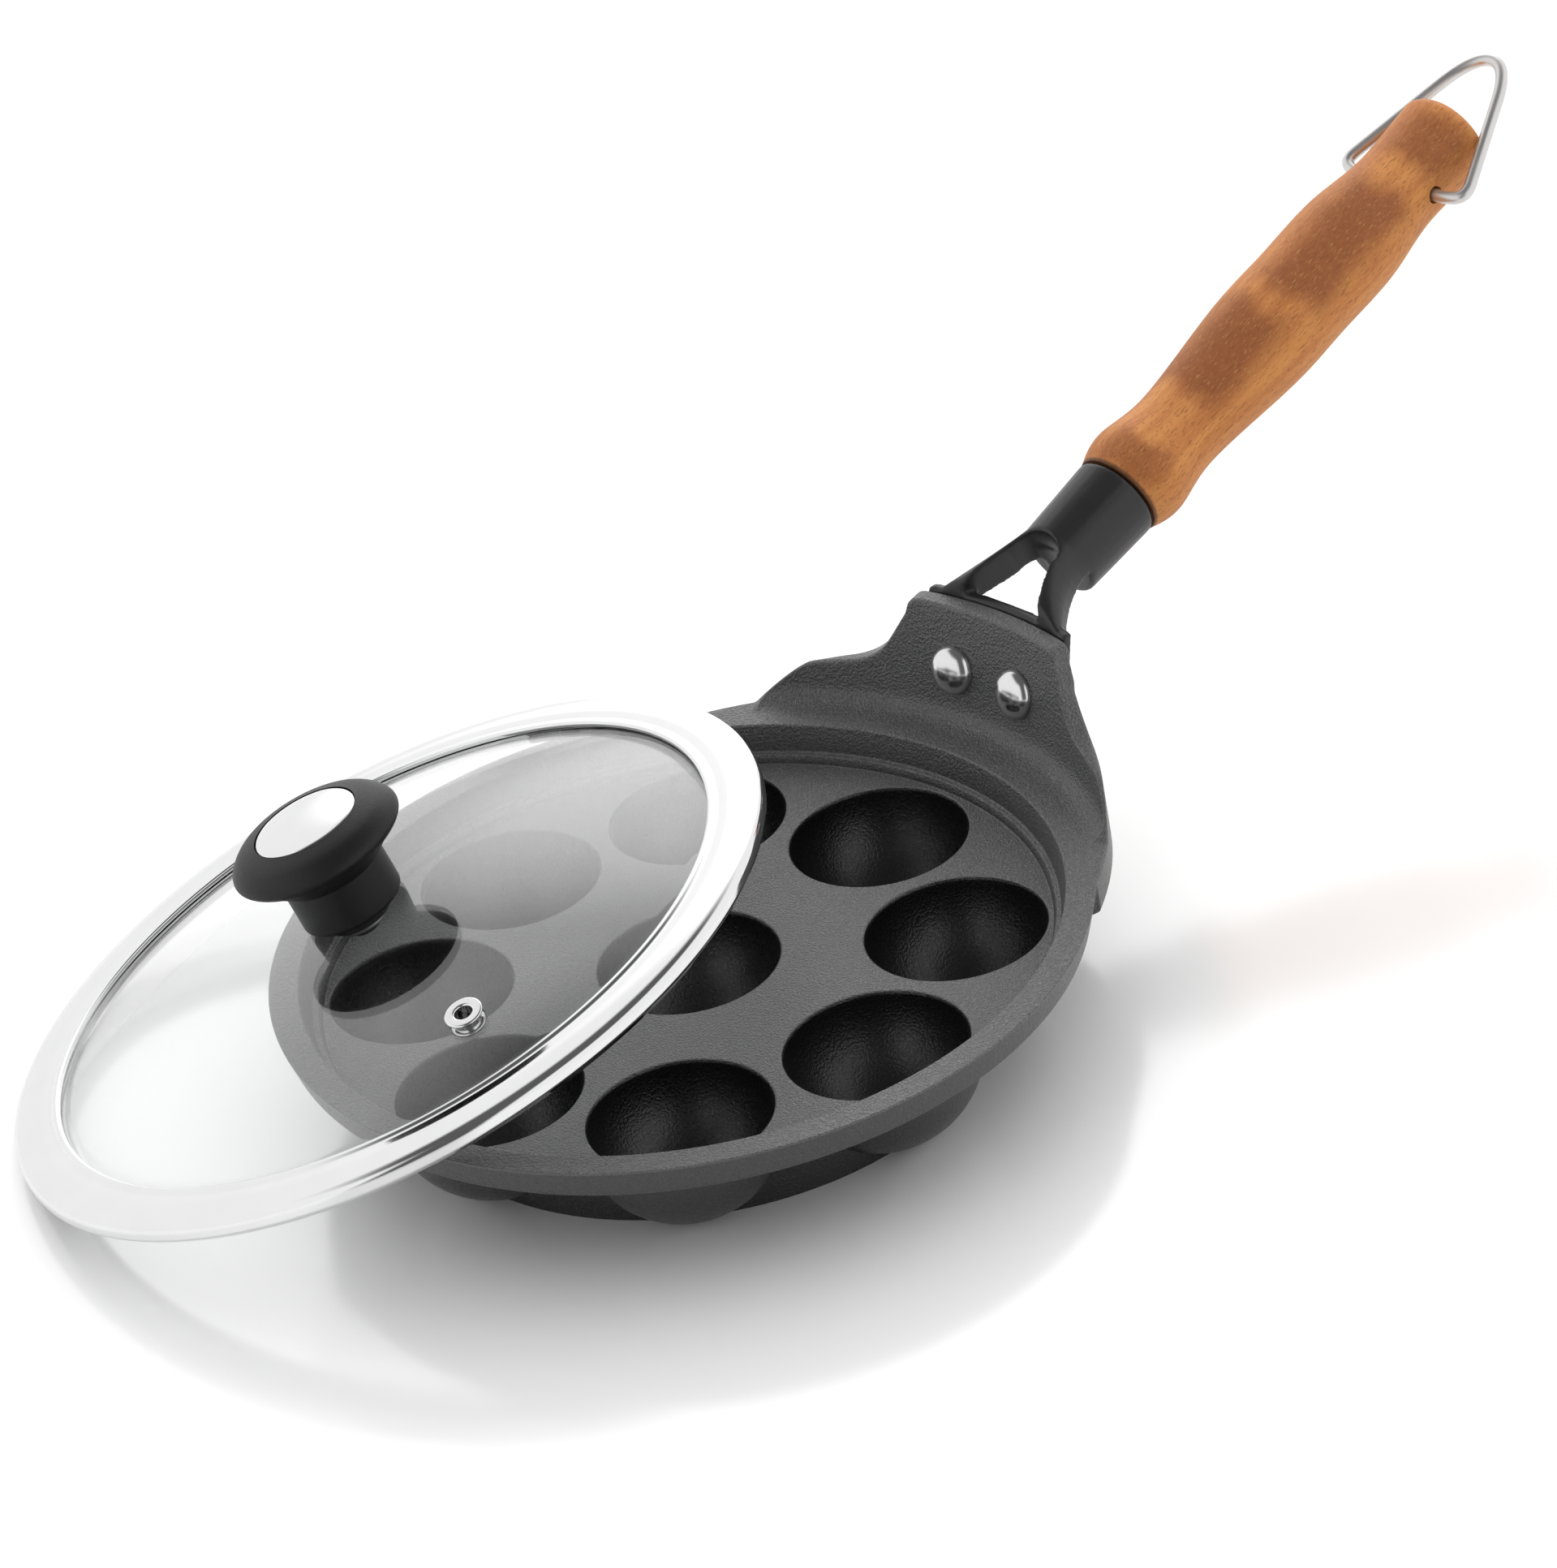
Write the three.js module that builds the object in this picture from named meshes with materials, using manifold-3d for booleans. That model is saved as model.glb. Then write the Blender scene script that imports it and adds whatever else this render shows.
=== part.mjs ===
// A paniyaram pan: a cast pan with nine round cavities, a handle bracket riveted to its tab,
// a turned wooden grip with a wire hanging loop, and a glass lid that leans on the pan's rim.
// Millimetres, +Z up, the handle along +X, the origin in the middle of the pan's base.
import * as THREE from 'three';
import { mergeVertices } from 'three/addons/utils/BufferGeometryUtils.js';
import Module from 'manifold-3d';

const wasm = await Module();
wasm.setup();

// Clearances
const SEAT_GAP = 0.3; // between two pieces that touch
const SLIP_FIT = 0.3; // round a pin, shank or tenon in its hole
const LOOP_FIT = 0.7; // round the wire in the grip's cross hole
const LID_FIT = 0.6; // between the lid's lip and the recess wall

// Cavities and plate
const CAVITY_RADIUS = 23.2;
const CAVITY_LIP = 1; // rounding of the mouth
const CAVITY_GAP = 3.8; // between the mouths of two neighbours
const CAVITY_COUNT = 8; // on the ring, with one more in the middle
const CAVITY_FLOOR = 2.8; // metal under a cavity
const BOWL_WALL = 3.6; // metal round a cavity
const PLATE_THICK = 4;
const PLATE_MARGIN = 0.6; // from the outer mouths to the step

// Step, recess and rim
const STEP_RISE = 2.3;
const STEP_DRAFT = 1;
const LEDGE_WIDTH = 1.2;
const RECESS_DRAFT = 2.1;
const RIM_WIDTH = 7.7;
const RIM_RISE = 9.6; // rim top above the plate
const RIM_WALL = 8.2; // height of the outer wall
const RIM_DRAFT = 2.4; // how far the outer wall leans in at its foot
const RIM_ROUND = 0.6;

// Base ring under the cavities
const BASE_RING_OFFSET = 6.8; // outside the circle of cavity centres
const BASE_RING_WALL = 5;
const BASE_RING_DRAFT = 3;

// Tab that carries the handle
const TAB_THICK = 5;
const TAB_LEAN = THREE.MathUtils.degToRad(14); // outwards from upright
const TAB_SET_OUT = 4.2; // front face outside the rim, at the rim's height
const TAB_FILLET = 6.6;
const TAB_HEIGHT = 30.6; // above the rim
const TAB_TOP_WIDTH = 53;
const TAB_CORNER = 5;
const TAB_NECK_WIDTH = 63;
const TAB_NECK_HEIGHT = 19;
const TAB_WING_WIDTH = 84; // where the neck runs into the wings
const TAB_SHOULDER_WIDTH = 104;
const TAB_SHOULDER_HEIGHT = 10.4;
const TAB_FOOT_WIDTH = 130;
const TAB_BLEND = THREE.MathUtils.degToRad(47); // half angle where the rim starts to widen
const TAB_FULL = THREE.MathUtils.degToRad(15); // half angle of the full thickness

// Rivets
const RIVET_SPACING = 23;
const RIVET_HEIGHT = 14; // above the rim, on the tab's front face
const RIVET_HEAD_RADIUS = 6.2;
const RIVET_HEAD_HEIGHT = 3.4;
const RIVET_SHANK_RADIUS = 2.6;
const RIVET_TAIL_RADIUS = 4.6;
const RIVET_TAIL_HEIGHT = 1.8;
const RIVET_POCKET = 1; // room round a tail, where the arms start

// Bracket
const HANDLE_PITCH = THREE.MathUtils.degToRad(17.3); // grip's rise from level
const HANDLE_RISE = 27.1; // axis above the rim, at the tab's back
const FLANGE_THICK = 3;
const FLANGE_WIDTH = 50;
const FLANGE_BELOW = 27.5; // flange's foot, below its top
const FLANGE_ABOVE_TAB = 0.6;
const FLANGE_CORNER = 6;
const ARM_ROOT_WIDTH = 48; // over both arms, at the tab
const ARM_ROOT_TOP = 6.6; // above the grip's axis, at the tab
const ARM_UNDER = 0.4; // arms' flat underside, below the grip's axis
const FERRULE_START = 24; // from the tab's back, along the grip's axis
const FERRULE_LENGTH = 25;
const FERRULE_RADIUS = 12.3;
const FERRULE_TAPER = 0.8;
const FERRULE_WALL = 2.4;
const SOCKET_DEPTH = 19;
const WINDOW_WIDTH = 31; // where it would meet the tab
const WINDOW_TIP_WIDTH = 16; // where its rounded end starts

// Grip, its screw and the hanging loop
const GRIP_LENGTH = 146;
const GRIP_BEAD_RADIUS = 14.4;
const GRIP_NECK_RADIUS = 12.4;
const GRIP_BELLY_RADIUS = 15;
const GRIP_WAIST_RADIUS = 12.6;
const GRIP_END_RADIUS = 13.4;
const GRIP_END_ROUND = 3.5;
const SCREW_RADIUS = 2;
const SCREW_HEAD_RADIUS = 4;
const SCREW_HEAD_HEIGHT = 2.4;
const SCREW_LENGTH = 20;
const WIRE_RADIUS = 1.75;
const LOOP_HOLE_INSET = 22; // cross hole from the grip's end
const LOOP_HALF_WIDTH = 20.5;
const LOOP_LENGTH = 45; // wire's axis, from the cross hole to the far bend
const LOOP_TIP_WIDTH = 21;
const LOOP_CORNER = 6;
const LOOP_TIP_ROUND = 12;
const LOOP_LIFT = THREE.MathUtils.degToRad(8); // above the grip's axis, at rest

// Lid
const LID_RADIUS = 107;
const LID_LIP = 2; // how far the lip reaches into the recess
const LID_LEAN = THREE.MathUtils.degToRad(16.8);
const LID_BEARING = THREE.MathUtils.degToRad(130); // the way it slopes down, from the handle
const BAND_THICK = 0.9;
const BAND_WIDTH = 14.5;
const BAND_HEIGHT = 5.6; // over the seat, at the outer corner
const BAND_SLOPE = 1.1; // rise of the band towards the glass
const BAND_CORNER = 2.2;
const BAND_BEVEL = 1.8; // at the outer foot, clear of the tab's fillet
const GLASS_THICK = 3.6;
const GLASS_RISE = 15.2; // dome, above the band's inner edge
const GLASS_TUCK = 7; // how far the glass goes in under the band

// Vent and knob
const VENT_RADIUS = 69; // from the lid's middle
const VENT_BEARING = THREE.MathUtils.degToRad(122.5);
const VENT_FLANGE_RADIUS = 5;
const VENT_BARREL_RADIUS = 3.4;
const VENT_BORE_RADIUS = 2.3;
const VENT_FLANGE_THICK = 0.9;
const KNOB_RADIUS = 23.4;
const KNOB_HEIGHT = 27;
const KNOB_STEM_RADIUS = 13.8;
const KNOB_FOOT_RADIUS = 12.8;
const KNOB_CAP_RADIUS = 14;
const KNOB_CAP_THICK = 1.6;
const KNOB_CAP_CROWN = 0.9;
const INSERT_RADIUS = 4;
const INSERT_LENGTH = 12;
const KNOB_SCREW_RADIUS = 2;
const KNOB_SCREW_REACH = 10; // into the insert
const KNOB_SCREW_HEAD_RADIUS = 4.4;
const KNOB_SCREW_HEAD_HEIGHT = 2.2;
const WASHER_RADIUS = 7;
const WASHER_THICK = 1;
const GASKET_RADIUS = 8.5;
const GASKET_THICK = 1.5;

// Facets
const PAN_FACETS = 80;
const CAVITY_FACETS = 24;
const CAVITY_STEPS = 5;
const LID_FACETS = 60;
const TURNED_FACETS = 28;
const SMALL_FACETS = 16;

// Sizes that follow from those above
const PLATE_HEIGHT = CAVITY_RADIUS + CAVITY_FLOOR;
const CAVITY_MOUTH = CAVITY_RADIUS + CAVITY_LIP;
const CAVITY_RING = (CAVITY_MOUTH + CAVITY_GAP / 2) / Math.sin(Math.PI / CAVITY_COUNT);
const PLATE_RADIUS = CAVITY_RING + CAVITY_MOUTH + PLATE_MARGIN;
const LEDGE_RADIUS = PLATE_RADIUS + STEP_DRAFT;
const RECESS_FOOT = LEDGE_RADIUS + LEDGE_WIDTH;
const RECESS_RADIUS = RECESS_FOOT + RECESS_DRAFT;
const PAN_RADIUS = RECESS_RADIUS + RIM_WIDTH;
const RIM_TOP = PLATE_HEIGHT + RIM_RISE;
const RIM_FOOT = RIM_TOP - RIM_WALL;
const TAB_TOP = RIM_TOP + TAB_HEIGHT;
const HANDLE_Z = RIM_TOP + HANDLE_RISE;

// Solids and placing
function solid(geometry) {
  geometry.deleteAttribute('normal');
  geometry.deleteAttribute('uv');
  const merged = mergeVertices(geometry, 1e-4);
  const index = merged.index.array;
  const triangles = [];
  for (let i = 0; i < index.length; i += 3) {
    const [a, b, c] = [index[i], index[i + 1], index[i + 2]];
    if (a !== b && b !== c && c !== a) triangles.push(a, b, c);
  }
  return new wasm.Manifold(new wasm.Mesh({
    numProp: 3,
    vertProperties: new Float32Array(merged.attributes.position.array),
    triVerts: new Uint32Array(triangles),
  }));
}

function geometryOf(body) {
  const mesh = body.getMesh();
  const geometry = new THREE.BufferGeometry();
  geometry.setAttribute('position', new THREE.BufferAttribute(mesh.vertProperties, 3));
  geometry.setIndex(new THREE.BufferAttribute(mesh.triVerts, 1));
  geometry.computeVertexNormals();
  return geometry;
}

// A turned solid about Z, from [radius, height] points that run anticlockwise.
function turned(points, facets) {
  const profile = points.map(([radius, height]) => new THREE.Vector2(Math.max(radius, 0), height));
  return new THREE.LatheGeometry(profile, facets).rotateX(Math.PI / 2);
}

// A closed ring: the profile comes back to its first point.
function turnedRing(points, facets) {
  return turned([...points, points[0]], facets);
}

// Points on an arc in a profile, from one angle to another, both included.
function arc(x, y, radius, from, to, steps) {
  const points = [];
  for (let i = 0; i <= steps; i += 1) {
    const angle = from + (to - from) * i / steps;
    points.push([x + radius * Math.cos(angle), y + radius * Math.sin(angle)]);
  }
  return points;
}

// A prism along Z from an outline, between two heights.
function prism(shape, low, high, curveSegments = 6) {
  const settings = { depth: high - low, bevelEnabled: false, curveSegments };
  return new THREE.ExtrudeGeometry(shape, settings).translate(0, 0, low);
}

// Turns what lies along Z so that it lies along X, with its first axis along Y and second along Z.
const FACING_X = new THREE.Matrix4().makeBasis(
  new THREE.Vector3(0, 1, 0), new THREE.Vector3(0, 0, 1), new THREE.Vector3(1, 0, 0));

// Turns a prism along Z into one along -Y, with its outline's first axis along X and second along Z.
const FACING_Y = new THREE.Matrix4().makeBasis(
  new THREE.Vector3(1, 0, 0), new THREE.Vector3(0, 0, 1), new THREE.Vector3(0, -1, 0));

function finish(color, roughness, metalness) {
  return new THREE.MeshStandardMaterial({ color, roughness, metalness });
}

function piece(name, body, material) {
  const mesh = new THREE.Mesh(body.isBufferGeometry ? body : geometryOf(body), material);
  mesh.name = name;
  return mesh;
}

// Frame of the grip: its origin on the tab's back, +X along the grip
const tabFront = (z) => PAN_RADIUS + TAB_SET_OUT + (z - RIM_TOP) * Math.tan(TAB_LEAN);
const tabBack = (z) => tabFront(z) + TAB_THICK / Math.cos(TAB_LEAN);
const handleFrame = new THREE.Matrix4()
  .makeRotationY(-HANDLE_PITCH)
  .setPosition(tabBack(HANDLE_Z), 0, HANDLE_Z);

// Pan casting
function panPlate() {
  const underside = PLATE_HEIGHT - PLATE_THICK;
  return turned([
    [0, underside],
    [PLATE_RADIUS, underside],
    [RECESS_FOOT + RECESS_DRAFT, (underside + RIM_FOOT) / 2],
    [PAN_RADIUS - RIM_DRAFT - RIM_ROUND, RIM_FOOT],
    [PAN_RADIUS - RIM_DRAFT, RIM_FOOT + RIM_ROUND],
    [PAN_RADIUS, RIM_TOP - RIM_ROUND],
    [PAN_RADIUS - RIM_ROUND, RIM_TOP],
    [RECESS_RADIUS + RIM_ROUND, RIM_TOP],
    [RECESS_RADIUS, RIM_TOP - RIM_ROUND],
    [RECESS_FOOT, PLATE_HEIGHT + STEP_RISE + RIM_ROUND],
    [RECESS_FOOT - RIM_ROUND, PLATE_HEIGHT + STEP_RISE],
    [LEDGE_RADIUS, PLATE_HEIGHT + STEP_RISE],
    [PLATE_RADIUS, PLATE_HEIGHT],
    [0, PLATE_HEIGHT],
  ], PAN_FACETS);
}

function bowl() {
  const radius = CAVITY_RADIUS + BOWL_WALL;
  const flat = Math.acos(Math.min(1, PLATE_HEIGHT / radius));
  const steps = CAVITY_STEPS - 2;
  const side = arc(0, PLATE_HEIGHT, radius, flat - Math.PI / 2, -Math.asin(PLATE_THICK / 2 / radius), steps);
  return turned([[0, side[0][1]], ...side, [0, side[steps][1]]], CAVITY_FACETS);
}

function cavity() {
  const wall = -Math.asin(CAVITY_LIP / CAVITY_RADIUS);
  const clear = PLATE_HEIGHT + STEP_RISE;
  return turned([
    ...arc(0, PLATE_HEIGHT, CAVITY_RADIUS, -Math.PI / 2, wall, CAVITY_STEPS),
    ...arc(CAVITY_MOUTH, PLATE_HEIGHT - CAVITY_LIP, CAVITY_LIP, Math.PI * 0.75, Math.PI / 2, 1),
    [CAVITY_MOUTH, clear],
    [0, clear],
  ], CAVITY_FACETS);
}

function baseRing() {
  const outside = CAVITY_RING + BASE_RING_OFFSET;
  const top = PLATE_HEIGHT - PLATE_THICK / 2;
  return turnedRing([
    [outside - BASE_RING_WALL, 0],
    [outside, 0],
    [outside + BASE_RING_DRAFT, top],
    [outside - BASE_RING_WALL - BASE_RING_DRAFT, top],
  ], PAN_FACETS);
}

// The tab is a leaning wall round the pan's axis, trimmed by its front and plan outlines.
function tabWall() {
  const reach = TAB_FILLET / Math.tan((Math.PI / 2 + TAB_LEAN) / 2);
  const foot = PAN_RADIUS + TAB_SET_OUT - reach;
  const head = TAB_TOP + TAB_CORNER;
  return turnedRing([
    [foot, RIM_FOOT + RIM_ROUND],
    [tabBack(RIM_FOOT + RIM_ROUND), RIM_FOOT + RIM_ROUND],
    [tabBack(head), head],
    [tabFront(head), head],
    ...arc(foot, RIM_TOP + TAB_FILLET, TAB_FILLET, -TAB_LEAN, -Math.PI / 2, 6),
  ], PAN_FACETS);
}

function tabOutline() {
  const half = (width) => width / 2;
  const outline = new THREE.Shape();
  const side = (sign) => [
    [sign * half(TAB_FOOT_WIDTH), RIM_TOP],
    [sign * half(TAB_SHOULDER_WIDTH), RIM_TOP + TAB_SHOULDER_HEIGHT],
    [sign * half(TAB_WING_WIDTH), RIM_TOP + TAB_SHOULDER_HEIGHT + TAB_THICK / 4],
    [sign * half(TAB_NECK_WIDTH), RIM_TOP + TAB_NECK_HEIGHT],
    [sign * half(TAB_TOP_WIDTH), TAB_TOP - TAB_CORNER],
  ];
  const [foot, shoulder, wing, neck, corner] = side(-1);
  const [footR, shoulderR, wingR, neckR, cornerR] = side(1);
  outline.moveTo(foot[0], RIM_FOOT);
  outline.lineTo(...foot);
  outline.quadraticCurveTo((foot[0] + 3 * shoulder[0]) / 4, shoulder[1], ...shoulder);
  outline.lineTo(...wing);
  outline.quadraticCurveTo((wing[0] + 2 * neck[0]) / 3, wing[1] + TAB_THICK / 4, ...neck);
  outline.lineTo(...corner);
  outline.quadraticCurveTo(corner[0], TAB_TOP, corner[0] + TAB_CORNER, TAB_TOP);
  outline.lineTo(cornerR[0] - TAB_CORNER, TAB_TOP);
  outline.quadraticCurveTo(cornerR[0], TAB_TOP, ...cornerR);
  outline.lineTo(...neckR);
  outline.quadraticCurveTo((wingR[0] + 2 * neckR[0]) / 3, wingR[1] + TAB_THICK / 4, ...wingR);
  outline.lineTo(...shoulderR);
  outline.quadraticCurveTo((footR[0] + 3 * shoulderR[0]) / 4, shoulderR[1], ...footR);
  outline.lineTo(footR[0], RIM_FOOT);
  return prism(outline, 0, 2 * PAN_RADIUS).applyMatrix4(FACING_X);
}

// In plan the tab's back runs out from the rim in one sweep on each side.
function tabPlan() {
  const at = (radius, angle) => [radius * Math.cos(angle), radius * Math.sin(angle)];
  const inside = RECESS_RADIUS + RIM_ROUND;
  const outside = 2 * PAN_RADIUS;
  const start = PAN_RADIUS - RIM_ROUND;
  const full = tabBack(RIM_TOP + TAB_NECK_HEIGHT);
  const bulge = tabBack(RIM_TOP + TAB_SHOULDER_HEIGHT);
  const middle = (TAB_BLEND + TAB_FULL) / 2;
  const plan = new THREE.Shape();
  plan.moveTo(...at(inside, -TAB_BLEND));
  plan.lineTo(...at(start, -TAB_BLEND));
  plan.quadraticCurveTo(...at(bulge, -middle), ...at(full, -TAB_FULL));
  plan.lineTo(...at(outside, -TAB_FULL));
  plan.lineTo(...at(outside, TAB_FULL));
  plan.lineTo(...at(full, TAB_FULL));
  plan.quadraticCurveTo(...at(bulge, middle), ...at(start, TAB_BLEND));
  plan.lineTo(...at(inside, TAB_BLEND));
  return prism(plan, 0, 2 * TAB_TOP, 10);
}

// Rivets stand square to the tab, each on its own radius of the pan.
const rivetRadius = tabFront(RIM_TOP + RIVET_HEIGHT);
const rivetAngle = Math.asin(RIVET_SPACING / 2 / rivetRadius);
function rivetFrame(sign) {
  const outwards = new THREE.Matrix4().makeRotationY(TAB_LEAN);
  outwards.setPosition(rivetRadius, 0, RIM_TOP + RIVET_HEIGHT);
  return new THREE.Matrix4().makeRotationZ(sign * rivetAngle).multiply(outwards);
}

const rivetSeat = TAB_THICK + SEAT_GAP + FLANGE_THICK * Math.cos(TAB_LEAN);
function rivetHole(sign) {
  const reach = 2 * rivetSeat;
  const shank = RIVET_SHANK_RADIUS + SLIP_FIT;
  const pocket = RIVET_TAIL_RADIUS + RIVET_POCKET;
  const hole = turned([
    [0, -reach],
    [shank, -reach],
    [shank, rivetSeat],
    [pocket, rivetSeat],
    [pocket, reach],
    [0, reach],
  ], SMALL_FACETS);
  return hole.applyMatrix4(FACING_X).applyMatrix4(rivetFrame(sign));
}

function panBody() {
  let body = solid(panPlate()).add(solid(baseRing()));
  const tab = solid(tabWall()).intersect(solid(tabOutline())).intersect(solid(tabPlan()));
  body = body.add(tab);
  const centres = [[0, 0]];
  for (let i = 0; i < CAVITY_COUNT; i += 1) {
    const angle = 2 * Math.PI * i / CAVITY_COUNT;
    centres.push([CAVITY_RING * Math.cos(angle), CAVITY_RING * Math.sin(angle)]);
  }
  for (const [x, y] of centres) body = body.add(solid(bowl().translate(x, y, 0)));
  for (const [x, y] of centres) body = body.subtract(solid(cavity().translate(x, y, 0)));
  for (const sign of [-1, 1]) body = body.subtract(solid(rivetHole(sign)));
  return body;
}

// Bracket: a flange behind the tab, two arms and the ferrule that holds the grip
const flangeTop = TAB_TOP + FLANGE_ABOVE_TAB;
const flangeFoot = flangeTop - FLANGE_BELOW;
const flangeFront = (z) => tabBack(z) + SEAT_GAP;

function flange() {
  const wall = turnedRing([
    [flangeFront(flangeFoot), flangeFoot],
    [flangeFront(flangeFoot) + FLANGE_THICK, flangeFoot],
    [flangeFront(flangeTop) + FLANGE_THICK, flangeTop],
    [flangeFront(flangeTop), flangeTop],
  ], PAN_FACETS);
  const half = FLANGE_WIDTH / 2;
  const outline = new THREE.Shape();
  outline.moveTo(-half + FLANGE_CORNER, flangeFoot);
  outline.lineTo(half - FLANGE_CORNER, flangeFoot);
  outline.quadraticCurveTo(half, flangeFoot, half, flangeFoot + FLANGE_CORNER);
  outline.lineTo(half, flangeTop);
  outline.lineTo(-half, flangeTop);
  outline.lineTo(-half, flangeFoot + FLANGE_CORNER);
  outline.quadraticCurveTo(-half, flangeFoot, -half + FLANGE_CORNER, flangeFoot);
  return solid(wall).intersect(solid(prism(outline, 0, 2 * PAN_RADIUS).applyMatrix4(FACING_X)));
}

// The ferrule's tube flattens and widens towards the flange, and a window splits it into two arms.
const ferruleBack = FERRULE_RADIUS - FERRULE_TAPER;
const armTip = FERRULE_START + FERRULE_WALL;
const screwSeat = FERRULE_START + SCREW_HEAD_HEIGHT; // foot of the counterbore for the screw's head
function armsFlare() {
  const stations = [-TAB_THICK];
  for (let i = 0; i <= 8; i += 1) stations.push(FERRULE_START * i / 8);
  const rings = [...stations, armTip].map((along) => [1, along]);
  const flare = turned([[0, -TAB_THICK], ...rings, [0, armTip]], TURNED_FACETS).applyMatrix4(FACING_X);
  const points = flare.attributes.position;
  for (let i = 0; i < points.count; i += 1) {
    const share = THREE.MathUtils.clamp(points.getX(i) / FERRULE_START, 0, 1);
    const half = ferruleBack + (ARM_ROOT_WIDTH / 2 - ferruleBack) * (1 - share) ** 1.8;
    const top = ferruleBack + (ARM_ROOT_TOP - ferruleBack) * (1 - share) ** 3;
    const square = 2 / (3 - share ** 2); // 1 is an ellipse, less is squarer
    const bend = (value) => Math.sign(value) * Math.abs(value) ** square;
    points.setY(i, half * bend(points.getY(i)));
    points.setZ(i, top * bend(points.getZ(i)));
  }
  return flare;
}

function armsUnder() {
  const room = new THREE.BoxGeometry(4 * FERRULE_START, 2 * FLANGE_WIDTH, FLANGE_WIDTH);
  return room.translate(FERRULE_START / 2, 0, -ARM_UNDER - FLANGE_WIDTH / 2);
}

function armsWindow() {
  const tip = WINDOW_TIP_WIDTH / 2;
  const base = -TAB_THICK / 2;
  const window = new THREE.Shape();
  window.moveTo(base, -WINDOW_WIDTH / 2);
  window.lineTo(FERRULE_START - tip, -tip);
  window.quadraticCurveTo(FERRULE_START, -tip, FERRULE_START, 0);
  window.quadraticCurveTo(FERRULE_START, tip, FERRULE_START - tip, tip);
  window.lineTo(base, WINDOW_WIDTH / 2);
  return prism(window, -2 * FERRULE_RADIUS, 2 * FERRULE_RADIUS);
}

function ferrule() {
  const end = FERRULE_START + FERRULE_LENGTH;
  const bore = FERRULE_RADIUS - FERRULE_WALL;
  const socket = end - SOCKET_DEPTH;
  const edge = FERRULE_WALL / 4;
  return turned([
    [0, FERRULE_START],
    [ferruleBack - edge, FERRULE_START],
    [ferruleBack, FERRULE_START + edge],
    [FERRULE_RADIUS, end - edge],
    [FERRULE_RADIUS - edge, end],
    [bore, end],
    [bore, socket],
    [0, socket],
  ], TURNED_FACETS).applyMatrix4(FACING_X);
}

// What lies in front of the flange is cleared away for the tab.
function tabRoom() {
  return turned([
    [0, 0],
    [flangeFront(0), 0],
    [flangeFront(2 * TAB_TOP), 2 * TAB_TOP],
    [0, 2 * TAB_TOP],
  ], PAN_FACETS);
}

function bracketBody() {
  const arms = solid(armsFlare()).subtract(solid(armsUnder())).subtract(solid(armsWindow()));
  const socket = FERRULE_START + FERRULE_LENGTH - SOCKET_DEPTH;
  const start = FERRULE_START / 2;
  const core = turned([
    [0, start],
    [SCREW_HEAD_RADIUS + SLIP_FIT, start],
    [SCREW_HEAD_RADIUS + SLIP_FIT, screwSeat],
    [SCREW_RADIUS + SLIP_FIT, screwSeat],
    [SCREW_RADIUS + SLIP_FIT, socket],
    [0, socket],
  ], TURNED_FACETS).applyMatrix4(FACING_X);
  const fork = arms.add(solid(ferrule())).subtract(solid(core));
  let body = solid(geometryOf(fork).applyMatrix4(handleFrame)).add(flange());
  body = body.subtract(solid(tabRoom()));
  for (const sign of [-1, 1]) body = body.subtract(solid(rivetHole(sign)));
  return body;
}

function rivet() {
  const seat = rivetSeat + SEAT_GAP;
  const headRadius = RIVET_HEAD_RADIUS;
  const dome = [];
  for (let i = 0; i <= 4; i += 1) {
    const angle = Math.PI / 2 * i / 4;
    dome.push([headRadius * Math.sin(angle), -SEAT_GAP - RIVET_HEAD_HEIGHT * Math.cos(angle)]);
  }
  return turned([
    ...dome,
    [RIVET_SHANK_RADIUS, -SEAT_GAP],
    [RIVET_SHANK_RADIUS, seat],
    [RIVET_TAIL_RADIUS, seat],
    [RIVET_TAIL_RADIUS * 0.8, seat + RIVET_TAIL_HEIGHT * 0.8],
    [0, seat + RIVET_TAIL_HEIGHT],
  ], SMALL_FACETS).applyMatrix4(FACING_X);
}

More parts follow.
